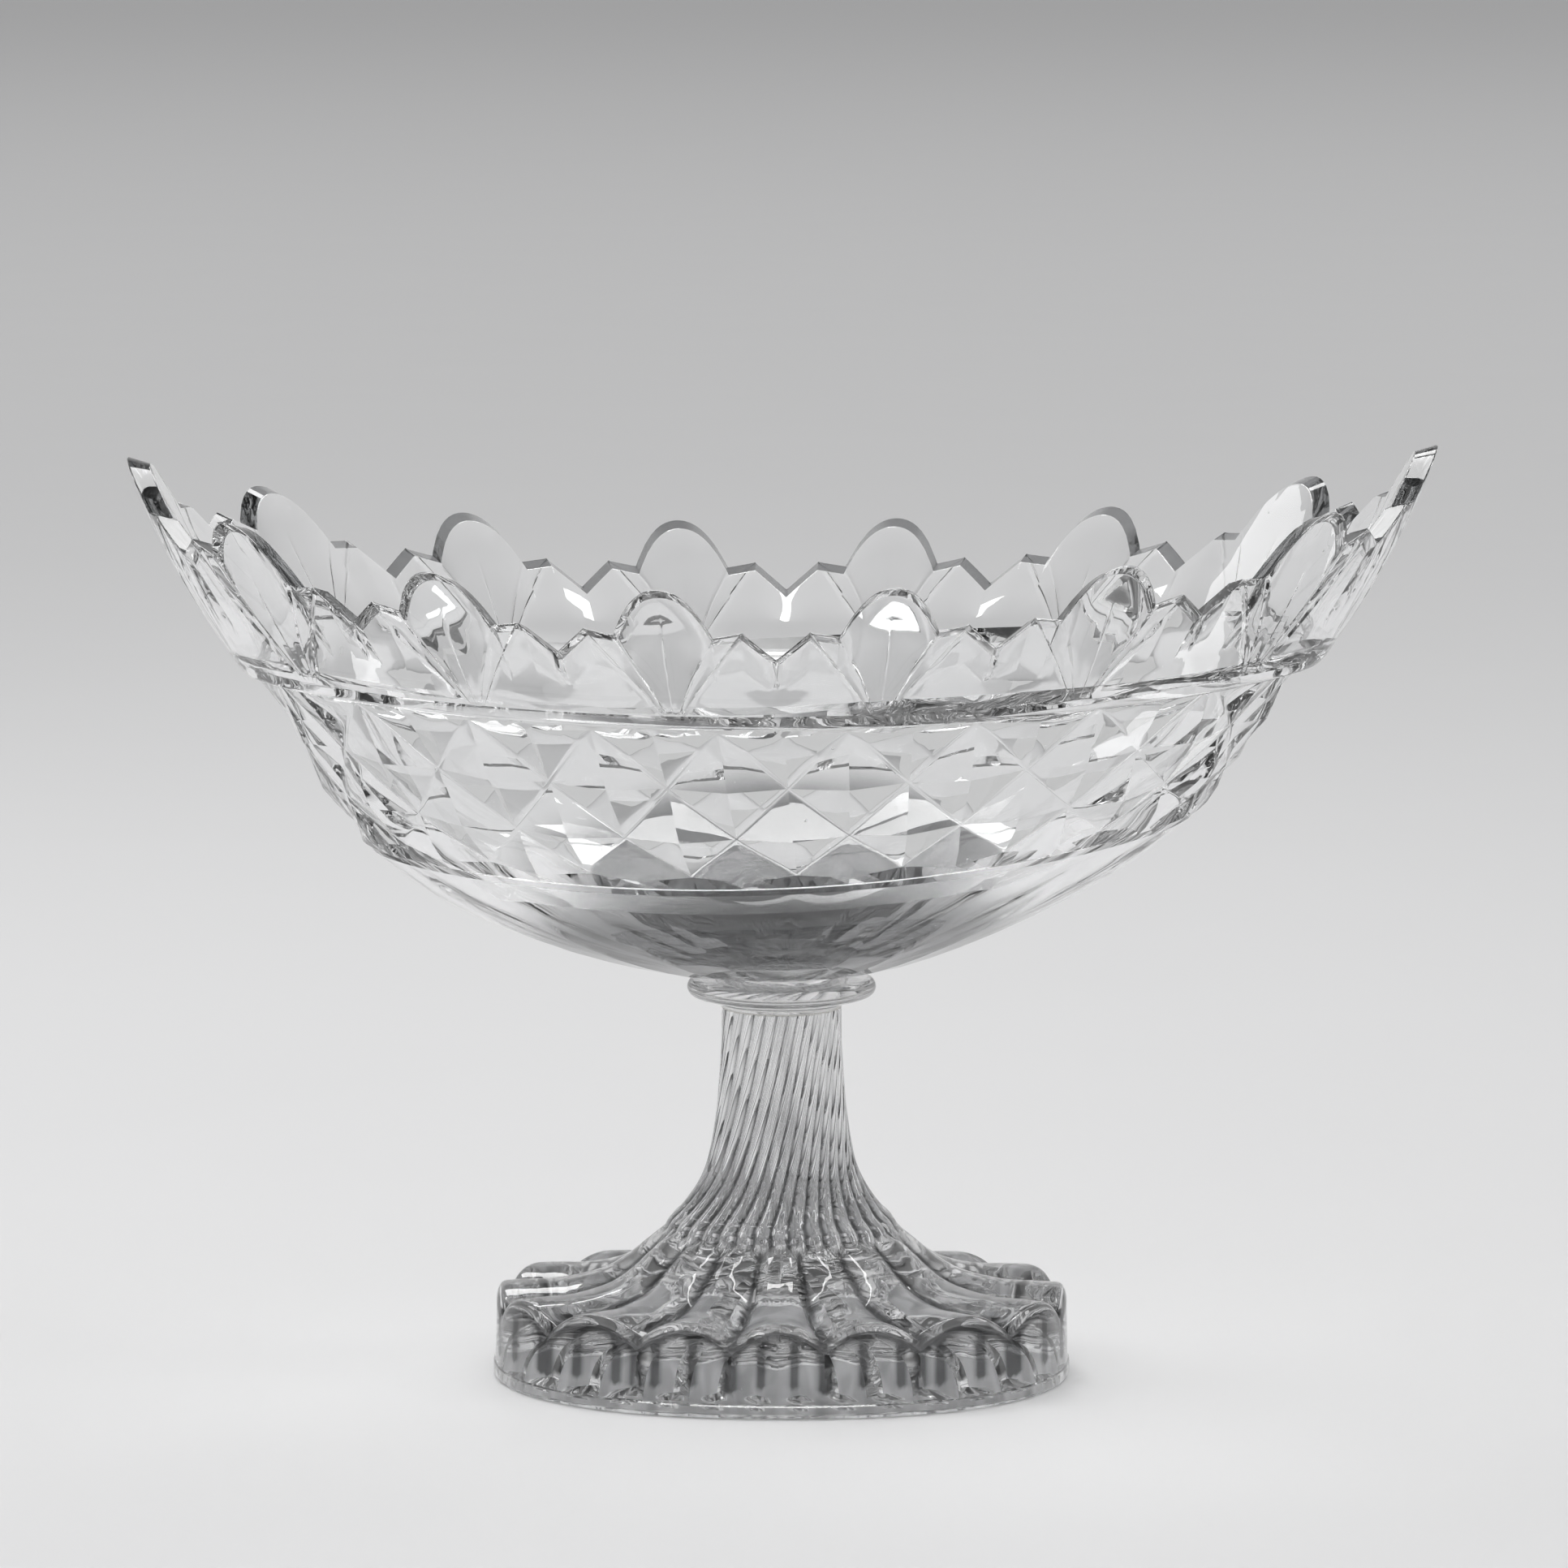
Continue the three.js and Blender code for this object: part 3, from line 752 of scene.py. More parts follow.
@dataclass
class Bowl:
    """Cut bowl: flutes, diamonds, band, fans, rim and smooth inside."""

    blank: BowlBlank = field(default_factory=BowlBlank)
    wafer_radius: float = 13.62
    base_wall: float = 12.0
    band_wall: float = 7.2
    rim_wall: float = 5.4
    rim_drop: float = 3.2
    band_proud: float = 1.1
    diamonds: int = 20
    diamond_depth: float = 2.6
    diamond_drift: float = 0.0023
    groove_half: float = 0.065
    flute_depth: float = 0.3
    fan_depth: float = 0.13
    line_depth: float = 0.38
    line_half: float = 0.013
    rim_ease: float = 0.4
    diamond_rows: tuple[int, int] = (5, 8)

    def build(self) -> bpy.types.Object:
        """Builds the bowl from its base up the outside and down the inside.

        Returns:
            The bowl's object.
        """
        surface = Surface()
        flutes, flute_shares = self._flutes(surface)
        low, low_shares, high, high_shares = self._diamonds(surface)
        surface.bridge(flutes, flute_shares, low, low_shares)
        band, band_shares = self._band(surface, high, high_shares)
        self._inside(surface, *self._fans(surface, band, band_shares))
        return surface.build("cut_bowl", 11.0)

    def _drift(self, row: np.ndarray) -> np.ndarray:
        """Drift of the cut rows round the bowl.

        Args:
            row: Row numbers.

        Returns:
            Shares by which the cuts move to the right at each row.
        """
        lowest = self.diamond_rows[0]
        return self.diamond_drift * (9.0 - np.maximum(row, lowest)) * np.minimum(row / lowest, 1.0)

    def _flutes(self, surface: Surface) -> tuple[np.ndarray, np.ndarray]:
        """Base with its weld, broad flutes and the plain step above them.

        Each flute is hollowed by depth 4 f (1 - f), with f the place across it, fading in from the base.

        Args:
            surface: Surface to add to.

        Returns:
            Point numbers and shares of the last ring.
        """
        across = 12
        shares = even_shares(across * self.diamonds)
        turn = 2.0 * math.pi * shares
        level = np.full_like(turn, Level.BOWL_BOTTOM.value)
        pad = np.stack([np.sin(turn), -np.cos(turn)], axis=-1) * self.wafer_radius
        ring = surface.add(np.concatenate([pad, level[:, None]], axis=-1))
        surface.cap(ring, (0.0, 0.0, Level.BOWL_BOTTOM.value), True, Face.WELD)
        rows = np.array([0.0, 0.2, 0.45, 0.8, 1.2, 1.6, 2.0, 2.5, 3.0, 3.5, 4.0, 4.4, 4.72, 4.8, 4.86])
        place = (np.arange(len(shares)) % across) / across
        hollow = 4.0 * place * (1.0 - place)
        fade = np.minimum(rows / 2.0, 1.0) * (1.0 - smoothstep(4.4, 4.8, rows))
        offset = -self.flute_depth * hollow[None, :] * fade[:, None]
        offset[-2:] -= np.array([0.7, 0.0])[:, None]
        grid = shares[None, :] + self._drift(rows)[:, None]
        rings = surface.add(self.blank.point(grid, rows[:, None], offset))
        surface.strip(np.concatenate([ring[None, :], rings]))
        return rings[-1], shares

    def _diamonds(self, surface: Surface) -> tuple[np.ndarray, np.ndarray, np.ndarray, np.ndarray]:
        """Lattice of pyramids between two families of crossing grooves.

        With s the column and t the row, grooves lie where s + t or s - t is odd. A point at the distances
        d1 and d2 from the nearest of each lies depth (1 - r(min(d1, d2))) deep, where r(d) = d, except in the
        rounded bottom, where r(d) = w / 2 + d^2 / (2 w) up to the half width w.

        Args:
            surface: Surface to add to.

        Returns:
            Point numbers and shares of the lowest ring, and of the highest ring.
        """
        w = self.groove_half
        near = np.array([0.0, 0.35 * w, 0.7 * w, w, 0.3, 0.65])
        steps = np.concatenate([near - 1.0, [0.0], 1.0 - near[::-1]])
        lowest, highest = self.diamond_rows
        columns = 2 * self.diamonds
        s0, t0 = np.meshgrid(np.arange(columns), np.arange(lowest, highest + 1), indexing="ij")
        tip = (s0 + t0) % 2 == 0
        s0, t0 = s0[tip], t0[tip]
        a, b = np.meshgrid(steps, steps, indexing="ij")
        s = s0[:, None, None] + 0.5 * (a + b)
        t = t0[:, None, None] + 0.5 * (a - b)
        d = np.minimum(1.0 - np.abs(a), 1.0 - np.abs(b))
        lift = np.where(d < w, 0.5 * w + d**2 / (2.0 * w), d)
        offset = -self.diamond_depth * (1.0 - lift)
        share = s / columns + self._drift(t)
        numbers = surface.add(self.blank.point(share, np.clip(t, lowest, highest), offset[None]))
        c00, c10 = numbers[:, :-1, :-1], numbers[:, 1:, :-1]
        c01, c11 = numbers[:, :-1, 1:], numbers[:, 1:, 1:]
        count = len(steps) - 1
        k, l = np.meshgrid(np.arange(count), np.arange(count), indexing="ij")
        upright = (k + l == count - 1)[None]
        first = np.where(upright[..., None], np.stack([c00, c10, c01], -1), np.stack([c00, c10, c11], -1))
        second = np.where(upright[..., None], np.stack([c10, c11, c01], -1), np.stack([c00, c11, c01], -1))
        flat_t = t.reshape(-1)
        start = numbers.min()
        for faces in (first, second):
            middle = flat_t[faces - start].mean(axis=-1)
            surface.triangles(faces[(middle > lowest) & (middle < highest)])
        rings = []
        for edge in (lowest, highest):
            on = np.abs(t - edge) < 1e-9
            order = np.argsort(s[on])
            found, place = np.unique(np.round(s[on][order], 6), return_index=True)
            keep = found < found[0] + columns - 1e-6
            shares = np.round(found[keep] / columns % 1.0, 9) % 1.0
            order_round = np.argsort(shares)
            rings += [numbers[on][order][place][keep][order_round], shares[order_round]]
        return tuple(rings)

    def _band(self, surface: Surface, ring: np.ndarray, shares: np.ndarray) -> tuple[np.ndarray, np.ndarray]:
        """Mitre groove and plain raised band with eased edges.

        Args:
            surface: Surface to add to.
            ring: Point numbers of the diamonds' highest ring.
            shares: Its shares of the way round.

        Returns:
            Point numbers and shares of the band's highest ring.
        """
        rows = np.array([8.6, 8.75, 8.9, 9.0, 9.1, 9.2, 9.28, 9.36, 9.44, 9.6, 9.8, 9.9])
        proud = self.band_proud
        offset = np.array([-0.35, -0.3, -0.05, 0.25, 0.6, 0.88, 1.0, 0.98, 0.9, 0.62, 0.3, 0.14])
        offset = np.where(offset > 0.0, offset * proud, offset)
        grid = surface.add(self.blank.point(shares[None, :], rows[:, None], offset[:, None]))
        surface.strip(np.concatenate([ring[None, :], grid]))
        return grid[-1], shares

    def _fan_columns(self) -> tuple[np.ndarray, np.ndarray, np.ndarray, np.ndarray]:
        """Columns of the fan cuts over all periods.

        Thin grooves lie on the lines of each fan, and each line has seven columns across its groove. The
        columns draw together from the rim to the focus of the fan at the band.

        Returns:
            Shares at the rim, shares at the band, places from the middle of each period, and rim heights.
        """
        edge, peak = self.blank.arch_edge, self.blank.peak_place
        rim_lines = np.array([0.0, edge, peak, 0.5])
        base_lines = np.array([0.0, 0.025, 0.045, 0.5])
        near = self.line_half * np.array([0.25, 0.6, 1.0])
        plain = (0.03, 0.055, 0.08, 0.105, 0.13, 0.165, 0.255, 0.285, 0.315, 0.39, 0.43, 0.465)
        around = (rim_lines[:, None] + np.concatenate([-near, [0.0], near])).ravel()
        half = np.unique(np.round(np.concatenate([around, plain]), 6))
        half = half[(half >= 0.0) & (half <= 0.5)]
        whole = np.concatenate([-half[:0:-1], half])[1:]
        drawn = np.sign(whole) * np.interp(np.abs(whole), rim_lines, base_lines)
        period = np.arange(self.blank.arches)[:, None] + 0.5
        place = ((period + whole) / self.blank.arches).ravel()
        rim = self.blank.spread(place)
        base = self.blank.spread(((period + drawn) / self.blank.arches).ravel())
        return rim, base, np.tile(whole, self.blank.arches), self.blank.rim_height(place)

    def _fan_cut(self, place: np.ndarray, part: np.ndarray) -> np.ndarray:
        """Depth of the fan cuts.

        Each line is a groove depth (1 - d / w)^1.3 across its half width w, strongest on the way to the small
        peaks, and the panels beside the lines are tilted a little.

        Args:
            place: Places at the rim from the middle of the period.
            part: Parts of the way from the band to the rim.

        Returns:
            Depths in millimetres.
        """
        away = np.abs(place)
        edge, peak = self.blank.arch_edge, self.blank.peak_place
        shown = smoothstep(0.0, 0.12, part)

        def line(at: float) -> np.ndarray:
            return np.clip(1.0 - np.abs(away - at) / self.line_half, 0.0, 1.0) ** 1.3

        ends = 1.0 - smoothstep(0.4, 0.8, part)
        grooves = 0.35 * line(0.0) * ends + 0.55 * line(edge) + line(peak)
        grooves = grooves + 0.9 * line(0.5) * smoothstep(0.5, 0.62, part)
        places = [0.0, 0.13, edge, 0.285, peak, 0.43, 0.5]
        tilt = np.interp(away, places, [0.1, 0.0, 0.7, 0.35, 1.0, 0.0, 0.3])
        return shown * (self.line_depth * grooves + self.fan_depth * tilt)

    def _fans(
        self, surface: Surface, band: np.ndarray, shares: np.ndarray
    ) -> tuple[np.ndarray, np.ndarray, np.ndarray]:
        """Fan cuts from the band up to the rim, and the polished edge of the rim.

        Args:
            surface: Surface to add to.
            band: Point numbers of the band's highest ring.
            shares: Its shares of the way round.

        Returns:
            Point numbers, shares and rim heights of the ring inside the rim.
        """
        rim, base, place, height = self._fan_columns()
        parts = [0.0, 0.05, 0.12, 0.22, 0.32, 0.42, 0.52, 0.6, 0.68, 0.75, 0.81, 0.88, 0.95, 1.0]
        parts = np.array(parts)[:, None]
        eased = height[None, :] - self.rim_ease
        share = base + (rim - base) * parts
        offset = -self._fan_cut(place, parts)
        top = self.blank.band_row
        grid = surface.add(self.blank.point(share, top + eased * parts, offset))
        surface.bridge(band, shares, grid[0], base)
        turn = np.linspace(0.0, 0.5 * math.pi, 4)[1:, None]
        up, into = self.rim_ease * np.sin(turn), self.rim_ease * (1.0 - np.cos(turn))
        outer = offset[-1] - into
        inner = np.broadcast_to(np.concatenate([into[::-1], [[0.0]]]) - self.rim_wall, (4, len(rim)))
        rows = np.concatenate([up, up[::-1] - self.rim_drop, [[-self.rim_drop]]])
        edge = surface.add(self.blank.point(rim, top + eased + rows, np.concatenate([outer, inner])))
        surface.strip(np.concatenate([grid, edge[:2]]))
        # The rim's edge faces take the dark painted shade.
        surface.strip(edge[1:5], Face.EDGE)
        surface.strip(edge[4:])
        return edge[-1], rim, eased[0] - self.rim_drop

    def _inside(self, surface: Surface, rim: np.ndarray, shares: np.ndarray, height: np.ndarray) -> None:
        """Smooth inside, from the rim down to the middle of the floor.

        Args:
            surface: Surface to add to.
            rim: Point numbers of the ring inside the rim.
            shares: Its shares of the way round.
            height: Rim heights at those shares.
        """
        top = self.blank.band_row
        parts = np.array([0.8, 0.6, 0.4])[:, None]
        thick = self.band_wall + (self.rim_wall - self.band_wall) * (parts - 0.4) / 0.6
        grid = surface.add(self.blank.point(shares, top + height[None, :] * parts, -thick))
        surface.strip(np.concatenate([rim[None, :], grid]))
        even = even_shares(360)
        rows = np.concatenate([[14.0, 12.0, 10.0, 9.4], np.arange(8.5, 0.9, -0.5), [0.75]])[:, None]
        wall = self.base_wall + (self.band_wall - self.base_wall) * np.minimum(rows, top) / top
        rings = surface.add(self.blank.point(even, rows, -wall))
        surface.bridge(grid[-1], shares, rings[0], even)
        surface.strip(rings)
        surface.cap(rings[-1], (0.0, 0.0, Level.BOWL_BOTTOM.value + self.base_wall), False, Face.GLASS)


@dataclass
class Turned:
    """Solid of glass turned round the Z axis from an outline of radius and height."""

    name: str
    outline: np.ndarray
    weld_below: float
    weld_above: float
    columns: int = 128

    def build(self) -> bpy.types.Object:
        """Builds the solid: points (r sin, -r cos, z) for each row of the outline.

        The welds are discs of their own radius in the flat faces below and above.

        Returns:
            The solid's object.
        """
        surface = Surface()
        below, above = self.outline[0, 1], self.outline[-1, 1]
        ends = [[self.weld_below, below]], [[self.weld_above, above]]
        rows = np.concatenate([ends[0], self.outline, ends[1]])
        angle = 2.0 * math.pi * even_shares(self.columns)
        x = rows[:, :1] * np.sin(angle)
        y = -rows[:, :1] * np.cos(angle)
        z = np.broadcast_to(rows[:, 1:], x.shape)
        rings = surface.add(np.stack([x, y, z], axis=-1))
        surface.strip(rings)
        surface.cap(rings[0], (0.0, 0.0, below), True, Face.WELD)
        surface.cap(rings[-1], (0.0, 0.0, above), False, Face.WELD)
        return surface.build(self.name, 30.0)


@dataclass(frozen=True)
class Collar:
    """Sizes of the collar and the two pads that weld it in."""

    stem_radius: float = 15.9
    neck_lip: float = 0.1
    neck_flare: float = 1.6
    radius: float = 25.1
    flat_edge: float = 3.0
    wafer_radius: float = 13.2
    wafer_fillet: float = 0.7

    def neck(self) -> Turned:
        """Flared pad between stem and collar.

        Returns:
            Solid whose radius grows with the 2.4th power of the height.
        """
        up = np.linspace(0.0, 1.0, 13)
        low, high = Level.STEM_TOP.value, Level.COLLAR_BOTTOM.value
        radius = self.stem_radius + self.neck_lip + self.neck_flare * up**2.4
        outline = np.stack([radius, low + (high - low) * up], axis=-1)
        return Turned("neck_pad", outline, self.stem_radius - 0.7, radius[-1] - 0.05)

    def merese(self) -> Turned:
        """Flat round collar with a rounded edge.

        Returns:
            Solid whose edge follows R - e (1 - cos^0.8), with the height going as the sine.
        """
        angle = np.linspace(-0.5 * math.pi, 0.5 * math.pi, 25)
        low, high = Level.COLLAR_BOTTOM.value, Level.COLLAR_TOP.value
        radius = self.radius - self.flat_edge * (1.0 - np.abs(np.cos(angle)) ** 0.8)
        outline = np.stack([radius, low + 0.5 * (high - low) * (1.0 + np.sin(angle))], axis=-1)
        below = self.stem_radius + self.neck_lip + self.neck_flare - 0.05
        return Turned("collar", outline, below, self.wafer_radius + self.wafer_fillet - 0.05)

    def wafer(self) -> Turned:
        """Small waisted pad between collar and bowl.

        Returns:
            Solid whose radius dips between its two ends as a parabola.
        """
        up = np.linspace(0.0, 1.0, 11)
        low, high = Level.COLLAR_TOP.value, Level.BOWL_BOTTOM.value
        fillet = self.wafer_fillet * np.where(up < 0.5, 1.0, 0.6)
        radius = self.wafer_radius + fillet * (2.0 * up - 1.0) ** 2
        outline = np.stack([radius, low + (high - low) * up], axis=-1)
        return Turned("bowl_pad", outline, radius[0] - 0.05, radius[-1] - 0.05)


@dataclass
class StemFoot:
    """Twisted ribbed stem that spreads into a lobed oval foot with a hollow below."""

    half_length: float = 77.0
    half_width: float = 61.0
    fullness: float = 0.035
    band_height: float = 3.2
    band_step: float = 0.5
    end_lean: float = 0.4
    side_lean: float = 8.5
    lobes: int = 16
    lobe_spread: float = -0.1
    lobe_top: float = 23.2
    lobe_depth: float = 5.2
    head_radius: float = 33.5
    head_height: float = 37.0
    ring_width: float = 6.5
    side_ring_width: float = 9.5
    hollow_wall: float = 14.0
    hollow_dome: float = 15.0
    hollow_ribs: int = 32
    hollow_rib: float = 4.5
    top_radius: float = 15.9
    ribs: int = 32
    rib_depth: float = 1.3
    twist: float = 0.8
    columns: int = 384
    plain_rings: int = 8
    lobe_rings: int = 46
    lip_rings: int = 3

    def __post_init__(self) -> None:
        """Works out the even spacing round the foot."""
        self.oval = Oval(self.half_length, self.half_width)
        self.shares = even_shares(self.columns)
        shift = self.lobe_spread * np.sin(4.0 * math.pi * self.shares) / (4.0 * math.pi)
        self.angle = self.oval.angle(self.shares + shift)
        bulge = np.abs(np.cos(self.shares * self.lobes * math.pi))
        self.lobe = 1.0 - (1.0 - bulge) ** 1.2

    def build(self) -> bpy.types.Object:
        """Builds the foot, the stem and the hollow.

        Returns:
            The object.
        """
        surface = Surface()
        foot = self._foot()
        stem = self._stem()
        outside = surface.add(np.concatenate([foot, stem]), self._furrow_shade(len(foot), len(stem)))
        surface.strip(outside)
        surface.cap(outside[-1], (0.0, 0.0, Level.STEM_TOP.value), False, Face.WELD)
        hollow = surface.add(self._hollow())
        surface.strip(np.concatenate([hollow, outside[:1]]))
        surface.cap(hollow[0], (0.0, 0.0, self.hollow_wall + self.hollow_dome), True, Face.GLASS)
        return surface.build("ribbed_stem_and_foot", 26.0)

    def _furrow_shade(self, foot_rings: int, stem_rings: int) -> np.ndarray:
        """Painted shade by depth in the furrows, (1 - |cos|)^3 between the lobes and (1 - |cos|)^1.3 between
        the ribs.

        The wall below the lip also has painted uneven upright shade streaks, (1 - |cos(40 pi s + 0.8 sin 6 pi
        s)|)^1.5, and the rings just under the lip get a painted dark line at 0.8.

        Args:
            foot_rings: Number of the foot's rings, of which the last ones are the lobes with their lip.
            stem_rings: Number of the stem's rings.

        Returns:
            Painted shade from 0 to 1 for each ring and column.
        """
        lobe = (1.0 - np.abs(np.cos(self.shares * self.lobes * math.pi))) ** 3
        rib = (1.0 - np.abs(np.cos(self.shares * self.ribs * math.pi))) ** 1.3
        ring = np.arange(foot_rings)[:, None]
        swing = 0.8 * np.sin(6.0 * math.pi * self.shares)
        streak = (1.0 - np.abs(np.cos(40.0 * math.pi * self.shares + swing))) ** 1.5
        lip = foot_rings - self.lobe_rings
        wall = np.maximum(lobe, np.where(ring < lip, streak, 0.0))
        foot = np.where(ring < self.plain_rings, 0.0, wall)
        # Painted shade: a dark line just under the lip.
        below_lip = (ring >= lip) & (ring < lip + self.lip_rings)
        stem = np.linspace(1.0, 0.6, stem_rings)[:, None] * rib
        return np.concatenate([np.where(below_lip, 0.8, foot), stem])

    def _rings(self, half_length: np.ndarray, ratio: np.ndarray, height: np.ndarray) -> np.ndarray:
        """Oval rings.

        Args:
            half_length: Half length of each ring, or of each of its points.
            ratio: Width over length of each ring.
            height: Height of each ring, or of each of its points.

        Returns:
            Points (F sin, -F q cos, z), where F = L (1 + k (L / L0 sin 2a)^2) is fuller than an ellipse.
        """
        outward = half_length / self.half_length
        full = half_length * (1.0 + self.fullness * (outward * np.sin(2.0 * self.angle)) ** 2)
        x = full * np.sin(self.angle)
        y = -full * ratio * np.cos(self.angle)
        return np.stack([x, y, np.broadcast_to(height, x.shape)], axis=-1)

    def _foot(self) -> np.ndarray:
        """Ground ring, band, wall and lobes.

        The lobes' crest follows a smooth curve from the rounded lip to the heads. The furrows lie below it by
        depth (1 - 0.75 u)(1 - lobe), with u the way inwards and lobe = 1 - (1 - |cos|)^1.2 round the foot.

        Returns:
            Rings of points, upwards and inwards.
        """
        wall = self.half_length - self.band_step
        top = wall - self.end_lean
        slim = self.half_width / self.half_length
        top_slim = (self.half_width - self.band_step - self.side_lean) / top
        low = np.array(
            [
                [self.half_length - 0.5, slim, 0.0],
                [self.half_length - 0.12, slim, 0.15],
                [self.half_length, slim, 0.5],
                [self.half_length, slim, self.band_height - 0.4],
                [self.half_length - 0.1, slim, self.band_height - 0.1],
                [wall, slim, self.band_height + 0.2],
                [wall, slim, self.band_height + 0.6],
            ]
        )
        band = self._rings(low[:, :1], low[:, 1:2], low[:, 2:])
        profile = np.array(
            [
                [-0.012, -0.36],
                [0.0, -0.22],
                [0.012, -0.09],
                [0.04, 0.0],
                [0.1, 0.02],
                [0.2, 0.04],
                [0.41, 0.08],
                [0.66, 0.27],
                [0.81, 0.53],
                [0.92, 0.8],
                [1.0, 1.0],
            ]
        )
        at = np.linspace(1.0, len(profile) - 1.0, self.lobe_rings)
        inward, upward = (v[:, None] for v in through_rows(profile, at).T)
        length = top + (self.head_radius - top) * inward
        ratio = top_slim + (0.9 - top_slim) * np.maximum(inward, 0.0)
        crest = self.lobe_top + (self.head_height - self.lobe_top) * upward
        deep = self.lobe_depth * (1.0 - 0.75 * np.maximum(inward, 0.0))
        lobes = self._rings(length, ratio, crest - deep * (1.0 - self.lobe))
        part = np.linspace(0.0, 1.0, 8)[1:-1, None, None]
        side = band[-1] + (lobes[0] - band[-1]) * part
        return np.concatenate([band, side, lobes])

    def _stem(self) -> np.ndarray:
        """Stem above the lobe heads.

        The radius follows a smooth flare, the furrows hollow it by depth (1 - |cos|) between the ribs, and
        all of it turns to the right with the height.

        Returns:
            Rings of points, upwards.
        """
        flare = np.array(
            [
                [-0.06, 1.0],
                [0.055, 0.824],
                [0.117, 0.625],
                [0.209, 0.39],
                [0.309, 0.235],
                [0.445, 0.133],
                [0.614, 0.064],
                [0.794, 0.018],
                [1.0, 0.0],
            ]
        )
        at = np.linspace(0.8, len(flare) - 1.0, 52)
        upward, outward = (v[:, None] for v in through_rows(flare, at).T)
        height = self.head_height + (Level.STEM_TOP.value - self.head_height) * upward
        radius = self.top_radius + (self.head_radius - self.top_radius) * outward
        turn = self.twist * np.maximum(upward - 0.1, 0.0)
        ratio = 0.9 + 0.1 * np.clip(2.5 * upward, 0.0, 1.0)
        furrow = 1.0 - np.abs(np.cos(self.shares * self.ribs * math.pi))
        rib = radius - self.rib_depth * furrow
        x = rib * np.sin(self.angle + turn)
        y = -rib * ratio * np.cos(self.angle + turn)
        return np.stack([x, y, np.broadcast_to(height, x.shape)], axis=-1)

    def _hollow(self) -> np.ndarray:
        """Ribbed hollow under the foot.

        At the part p of its oval, z = w (1 - p^12)^0.5 + d (1 - (p / 0.8)^2)^1.5.

        Returns:
            Rings of points, downwards and outwards.
        """
        length = self.half_length - self.ring_width
        ratio = (self.half_width - self.side_ring_width) / length
        wall = (1.0 - np.linspace(0.93, 0.0, 24) ** 2) ** (1.0 / 12.0)
        part = np.concatenate([np.linspace(0.04, wall[0], 24)[:-1], wall])[:, None]
        furrow = 1.0 - np.abs(2.0 * (self.shares * self.hollow_ribs % 1.0) - 1.0)
        rib = 1.0 - self.hollow_rib / length * furrow * smoothstep(0.0, 0.002, 1.0 - part)
        dome = np.maximum(1.0 - (part / 0.8) ** 2, 0.0) ** 1.5
        height = self.hollow_wall * np.sqrt(np.maximum(1.0 - part**12, 0.0)) + self.hollow_dome * dome
        return self._rings(length * part * rib, ratio, height)


@dataclass(frozen=True)
class Lamp:
    """Soft lamp: place and target in metres, size and power.

    The glass mirrors it and doesn't pass it. A lamp that doesn't light the floor is only a reflection.
    """

    name: str
    place: tuple[float, float, float]
    target: tuple[float, float, float]
    size: tuple[float, float]
    power: float
    lights_floor: bool = True


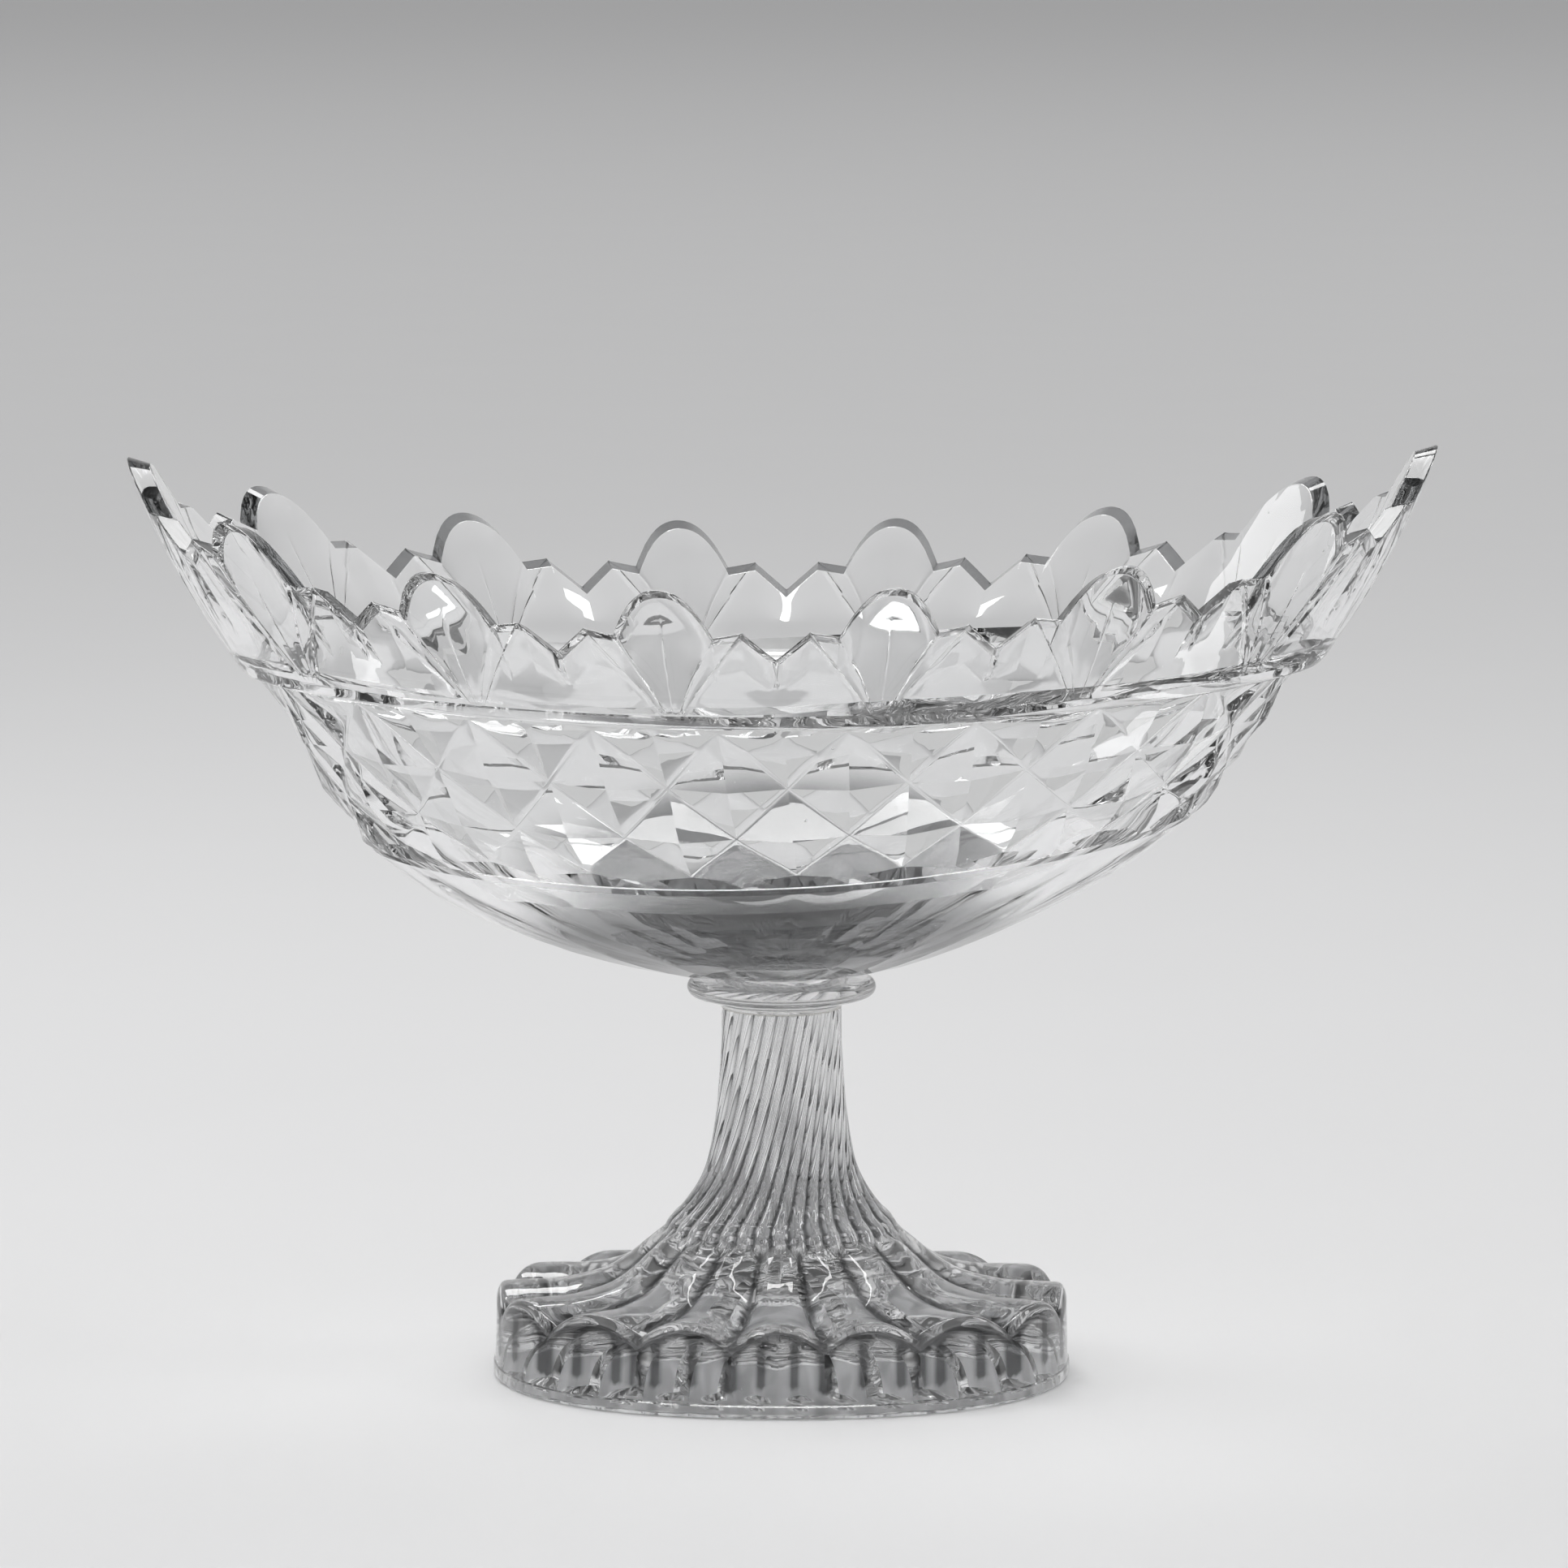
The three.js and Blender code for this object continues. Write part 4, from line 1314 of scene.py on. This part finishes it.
@dataclass
class Studio:
    """Floor, room light, lamps and camera."""

    floor_radius: float = 14.0
    floor_colour: tuple[float, float, float] = (0.72, 0.72, 0.725)
    # Painted shade: colour that the floor darkens to far away.
    far_shade_colour: tuple[float, float, float] = (0.46, 0.46, 0.465)
    sky_strength: float = 1.6
    low_room: float = 0.62
    high_room: float = 0.16
    sweep: float = 0.5
    seen: float = 0.45
    lamps: tuple[Lamp, ...] = (
        Lamp("lamp_back", (-0.25, 0.75, 1.45), (0.0, 0.0, 0.0), (0.5, 0.38), 5.3),
        Lamp("lamp_top", (0.0, 0.0, 1.5), (0.0, 0.0, 0.0), (1.4, 0.9), 45.0, False),
        Lamp("lamp_left", (-1.2, 0.1, 1.0), (0.0, 0.0, 0.1), (0.4, 0.5), 3.0),
        Lamp("lamp_right", (1.3, -0.1, 0.8), (0.0, 0.0, 0.1), (0.25, 0.5), 2.5),
    )
    camera_place: tuple[float, float, float] = (0.0339, -1.9047, 0.43)
    camera_turn: tuple[float, float, float] = (81.87, 0.0, 1.0)
    lens: float = 166.96

    def build(self) -> None:
        """Builds everything round the object."""
        self._floor()
        self._room()
        self._sky()
        for lamp in self.lamps:
            self._lamp(lamp)
        self._camera()
        scene = bpy.context.scene
        scene.view_settings.view_transform = "Standard"
        scene.cycles.max_bounces = 32
        scene.cycles.transmission_bounces = 28
        scene.cycles.glossy_bounces = 12
        scene.cycles.transparent_max_bounces = 32

    def _floor(self) -> None:
        """Plain pale floor: a disc with rings of points at radii that grow as a power, with painted shade
        that darkens it far away.
        """
        radius = np.concatenate([[0.0], np.geomspace(0.2, self.floor_radius, 12)])[:, None]
        angle = 2.0 * math.pi * even_shares(96)
        x, y = radius * np.cos(angle), radius * np.sin(angle)
        points = np.stack([x, y, np.full_like(x, -0.0002)], axis=-1).reshape(-1, 3)
        low = np.arange(12 * 96).reshape(12, 96)
        following = np.roll(low, -1, axis=1)
        faces = np.stack([low, low + 96, following + 96, following], axis=-1).reshape(-1, 4)
        mesh = bpy.data.meshes.new("floor")
        mesh.from_pydata(points, [], faces)
        floor = bpy.data.objects.new("floor", mesh)
        bpy.context.scene.collection.objects.link(floor)
        material = bpy.data.materials.new("floor")
        material.use_nodes = True
        nodes = Nodes(material.node_tree)
        shader = material.node_tree.nodes["Principled BSDF"]
        shader.inputs["Roughness"].default_value = 0.6
        shader.inputs["Specular IOR Level"].default_value = 0.2
        place = nodes.add("ShaderNodeTexCoord").outputs["Object"]
        patchy = tuple(0.985 * c for c in self.floor_colour)
        tint = nodes.mix(nodes.noise(place, 9.0, 2.0), self.floor_colour, patchy)
        # Painted shade: the floor darkens from 2 m out to 11 m.
        far = nodes.ramp(nodes.length(place), 2.0, 11.0, (0.0, 1.0))
        nodes.link(nodes.mix(far, tint, self.far_shade_colour), shader.inputs["Base Color"])
        mesh.materials.append(material)

    def _room(self) -> None:
        """Room with a pale paper sweep behind and dark above. The camera itself sees plain grey."""
        world = bpy.data.worlds.new("room")
        bpy.context.scene.world = world
        world.use_nodes = True
        nodes = Nodes(world.node_tree)
        parts = nodes.add("ShaderNodeSeparateXYZ")
        nodes.link(nodes.add("ShaderNodeTexCoord").outputs["Generated"], parts.inputs[0])
        sweep = nodes.math("MULTIPLY", nodes.math("MAXIMUM", parts.outputs["Y"], 0.0), self.sweep)
        above = nodes.math("SUBTRACT", parts.outputs["Z"], sweep)
        level = nodes.ramp(above, 0.0, 0.24, (self.low_room, self.high_room))
        plain = nodes.add("ShaderNodeMix", data_type="FLOAT")
        nodes.link(nodes.add("ShaderNodeLightPath").outputs["Is Camera Ray"], plain.inputs["Factor"])
        nodes.link(level, plain.inputs["A"])
        plain.inputs["B"].default_value = self.seen
        background = world.node_tree.nodes["Background"]
        background.inputs["Color"].default_value = (1.0, 1.0, 1.0, 1.0)
        nodes.link(plain.outputs["Result"], background.inputs["Strength"])

    def _sky(self) -> None:
        """Wide even light from above that the floor takes and the glass doesn't mirror."""
        light = bpy.data.lights.new("sky", "SUN")
        light.angle = math.radians(80.0)
        light.energy = self.sky_strength
        item = bpy.data.objects.new("sky", light)
        item.visible_glossy = False
        item.visible_transmission = False
        bpy.context.scene.collection.objects.link(item)

    def _lamp(self, lamp: Lamp) -> None:
        """Adds a soft lamp that faces its target.

        Args:
            lamp: What to add.
        """
        light = bpy.data.lights.new(lamp.name, "AREA")
        light.shape = "RECTANGLE"
        light.size, light.size_y = lamp.size
        light.energy = lamp.power
        item = bpy.data.objects.new(lamp.name, light)
        item.visible_transmission = False
        item.visible_diffuse = lamp.lights_floor
        item.location = lamp.place
        aim = np.array(lamp.target) - np.array(lamp.place)
        flat = math.hypot(aim[0], aim[1])
        item.rotation_euler = (math.atan2(flat, -aim[2]), 0.0, math.atan2(-aim[0], aim[1]))
        bpy.context.scene.collection.objects.link(item)

    def _camera(self) -> None:
        """Camera that stands as in the photograph."""
        data = bpy.data.cameras.new("camera")
        data.sensor_width = 36.0
        data.lens = self.lens
        data.clip_end = 100.0
        camera = bpy.data.objects.new("camera", data)
        camera.location = self.camera_place
        camera.rotation_euler = tuple(math.radians(v) for v in self.camera_turn)
        bpy.context.scene.collection.objects.link(camera)
        bpy.context.scene.camera = camera


def main() -> None:
    """Builds the pieces in order, dresses them and sets the studio."""
    logging.basicConfig(level=logging.INFO, format="%(name)s: %(message)s")
    marks = glass_marks()
    weld = WeldFinish().material()
    # Painted shade: the rim's edge faces are tinted dark.
    rim_edge_shade_finish = GlassFinish("rim_edge_painted_shade", (0.13, 0.133, 0.136), (0.09, 0.092, 0.094), wave=0.4, smudge=0.1)
    edge = rim_edge_shade_finish.material(marks)
    collar = Collar()
    # Painted shade: a greyer foot and lower stem, and a dark bottom of the bowl.
    foot_painted_shade = PaintedShadeTint((0.0, 0.0, 0.0), (0.2, 0.2, 0.078), (0.95, 0.953, 0.957))
    bowl_painted_shade = PaintedShadeTint((0.0, 0.0, 0.1076), (0.078, 0.2, 0.034), (0.27, 0.272, 0.275))
    seam = SeamFinish(Level.STEM_TOP.value * MM)
    # The foot's glass carries painted shade: greyer glass, dark streaks and dark furrows.
    foot_finish = GlassFinish(
        "foot_glass",
        wave=0.12,
        ripple=0.5,
        wave_depth=0.0003,
        # Painted shade streaks and furrows.
        shade_streaks=0.35,
        shade=1.0,
        seam=seam,
        thick=foot_painted_shade,
    )
    # Painted shade: the collar's glass is tinted grey.
    collar_shade_finish = GlassFinish("collar_glass", (0.8, 0.803, 0.806), (0.72, 0.723, 0.726), wave=0.4)
    plan = (
        (StemFoot(), foot_finish, "stem_foot"),
        (collar.neck(), GlassFinish("neck_glass", wave=0.5, smudge=0.05, seam=seam), "neck_wafer"),
        (collar.merese(), collar_shade_finish, "merese"),
        (collar.wafer(), GlassFinish("pad_glass", wave=0.4), "bowl_wafer"),
        (Bowl(), GlassFinish("bowl_glass", wave=0.15, smudge=0.02, thick=bowl_painted_shade), "bowl"),
    )
    slots = {entry["node"]: entry["material_slot"] for entry in frame["record"]["subparts"]}
    for maker, finish, node in plan:
        piece = maker.build()
        rim = (edge,) if node == "bowl" else ()
        Dressing((finish.material(marks), weld, *rim), node, slots[node]).dress(piece)
        log.info("%s stands for %s", piece.name, node)
    Studio().build()


if __name__ == "__main__":
    main()
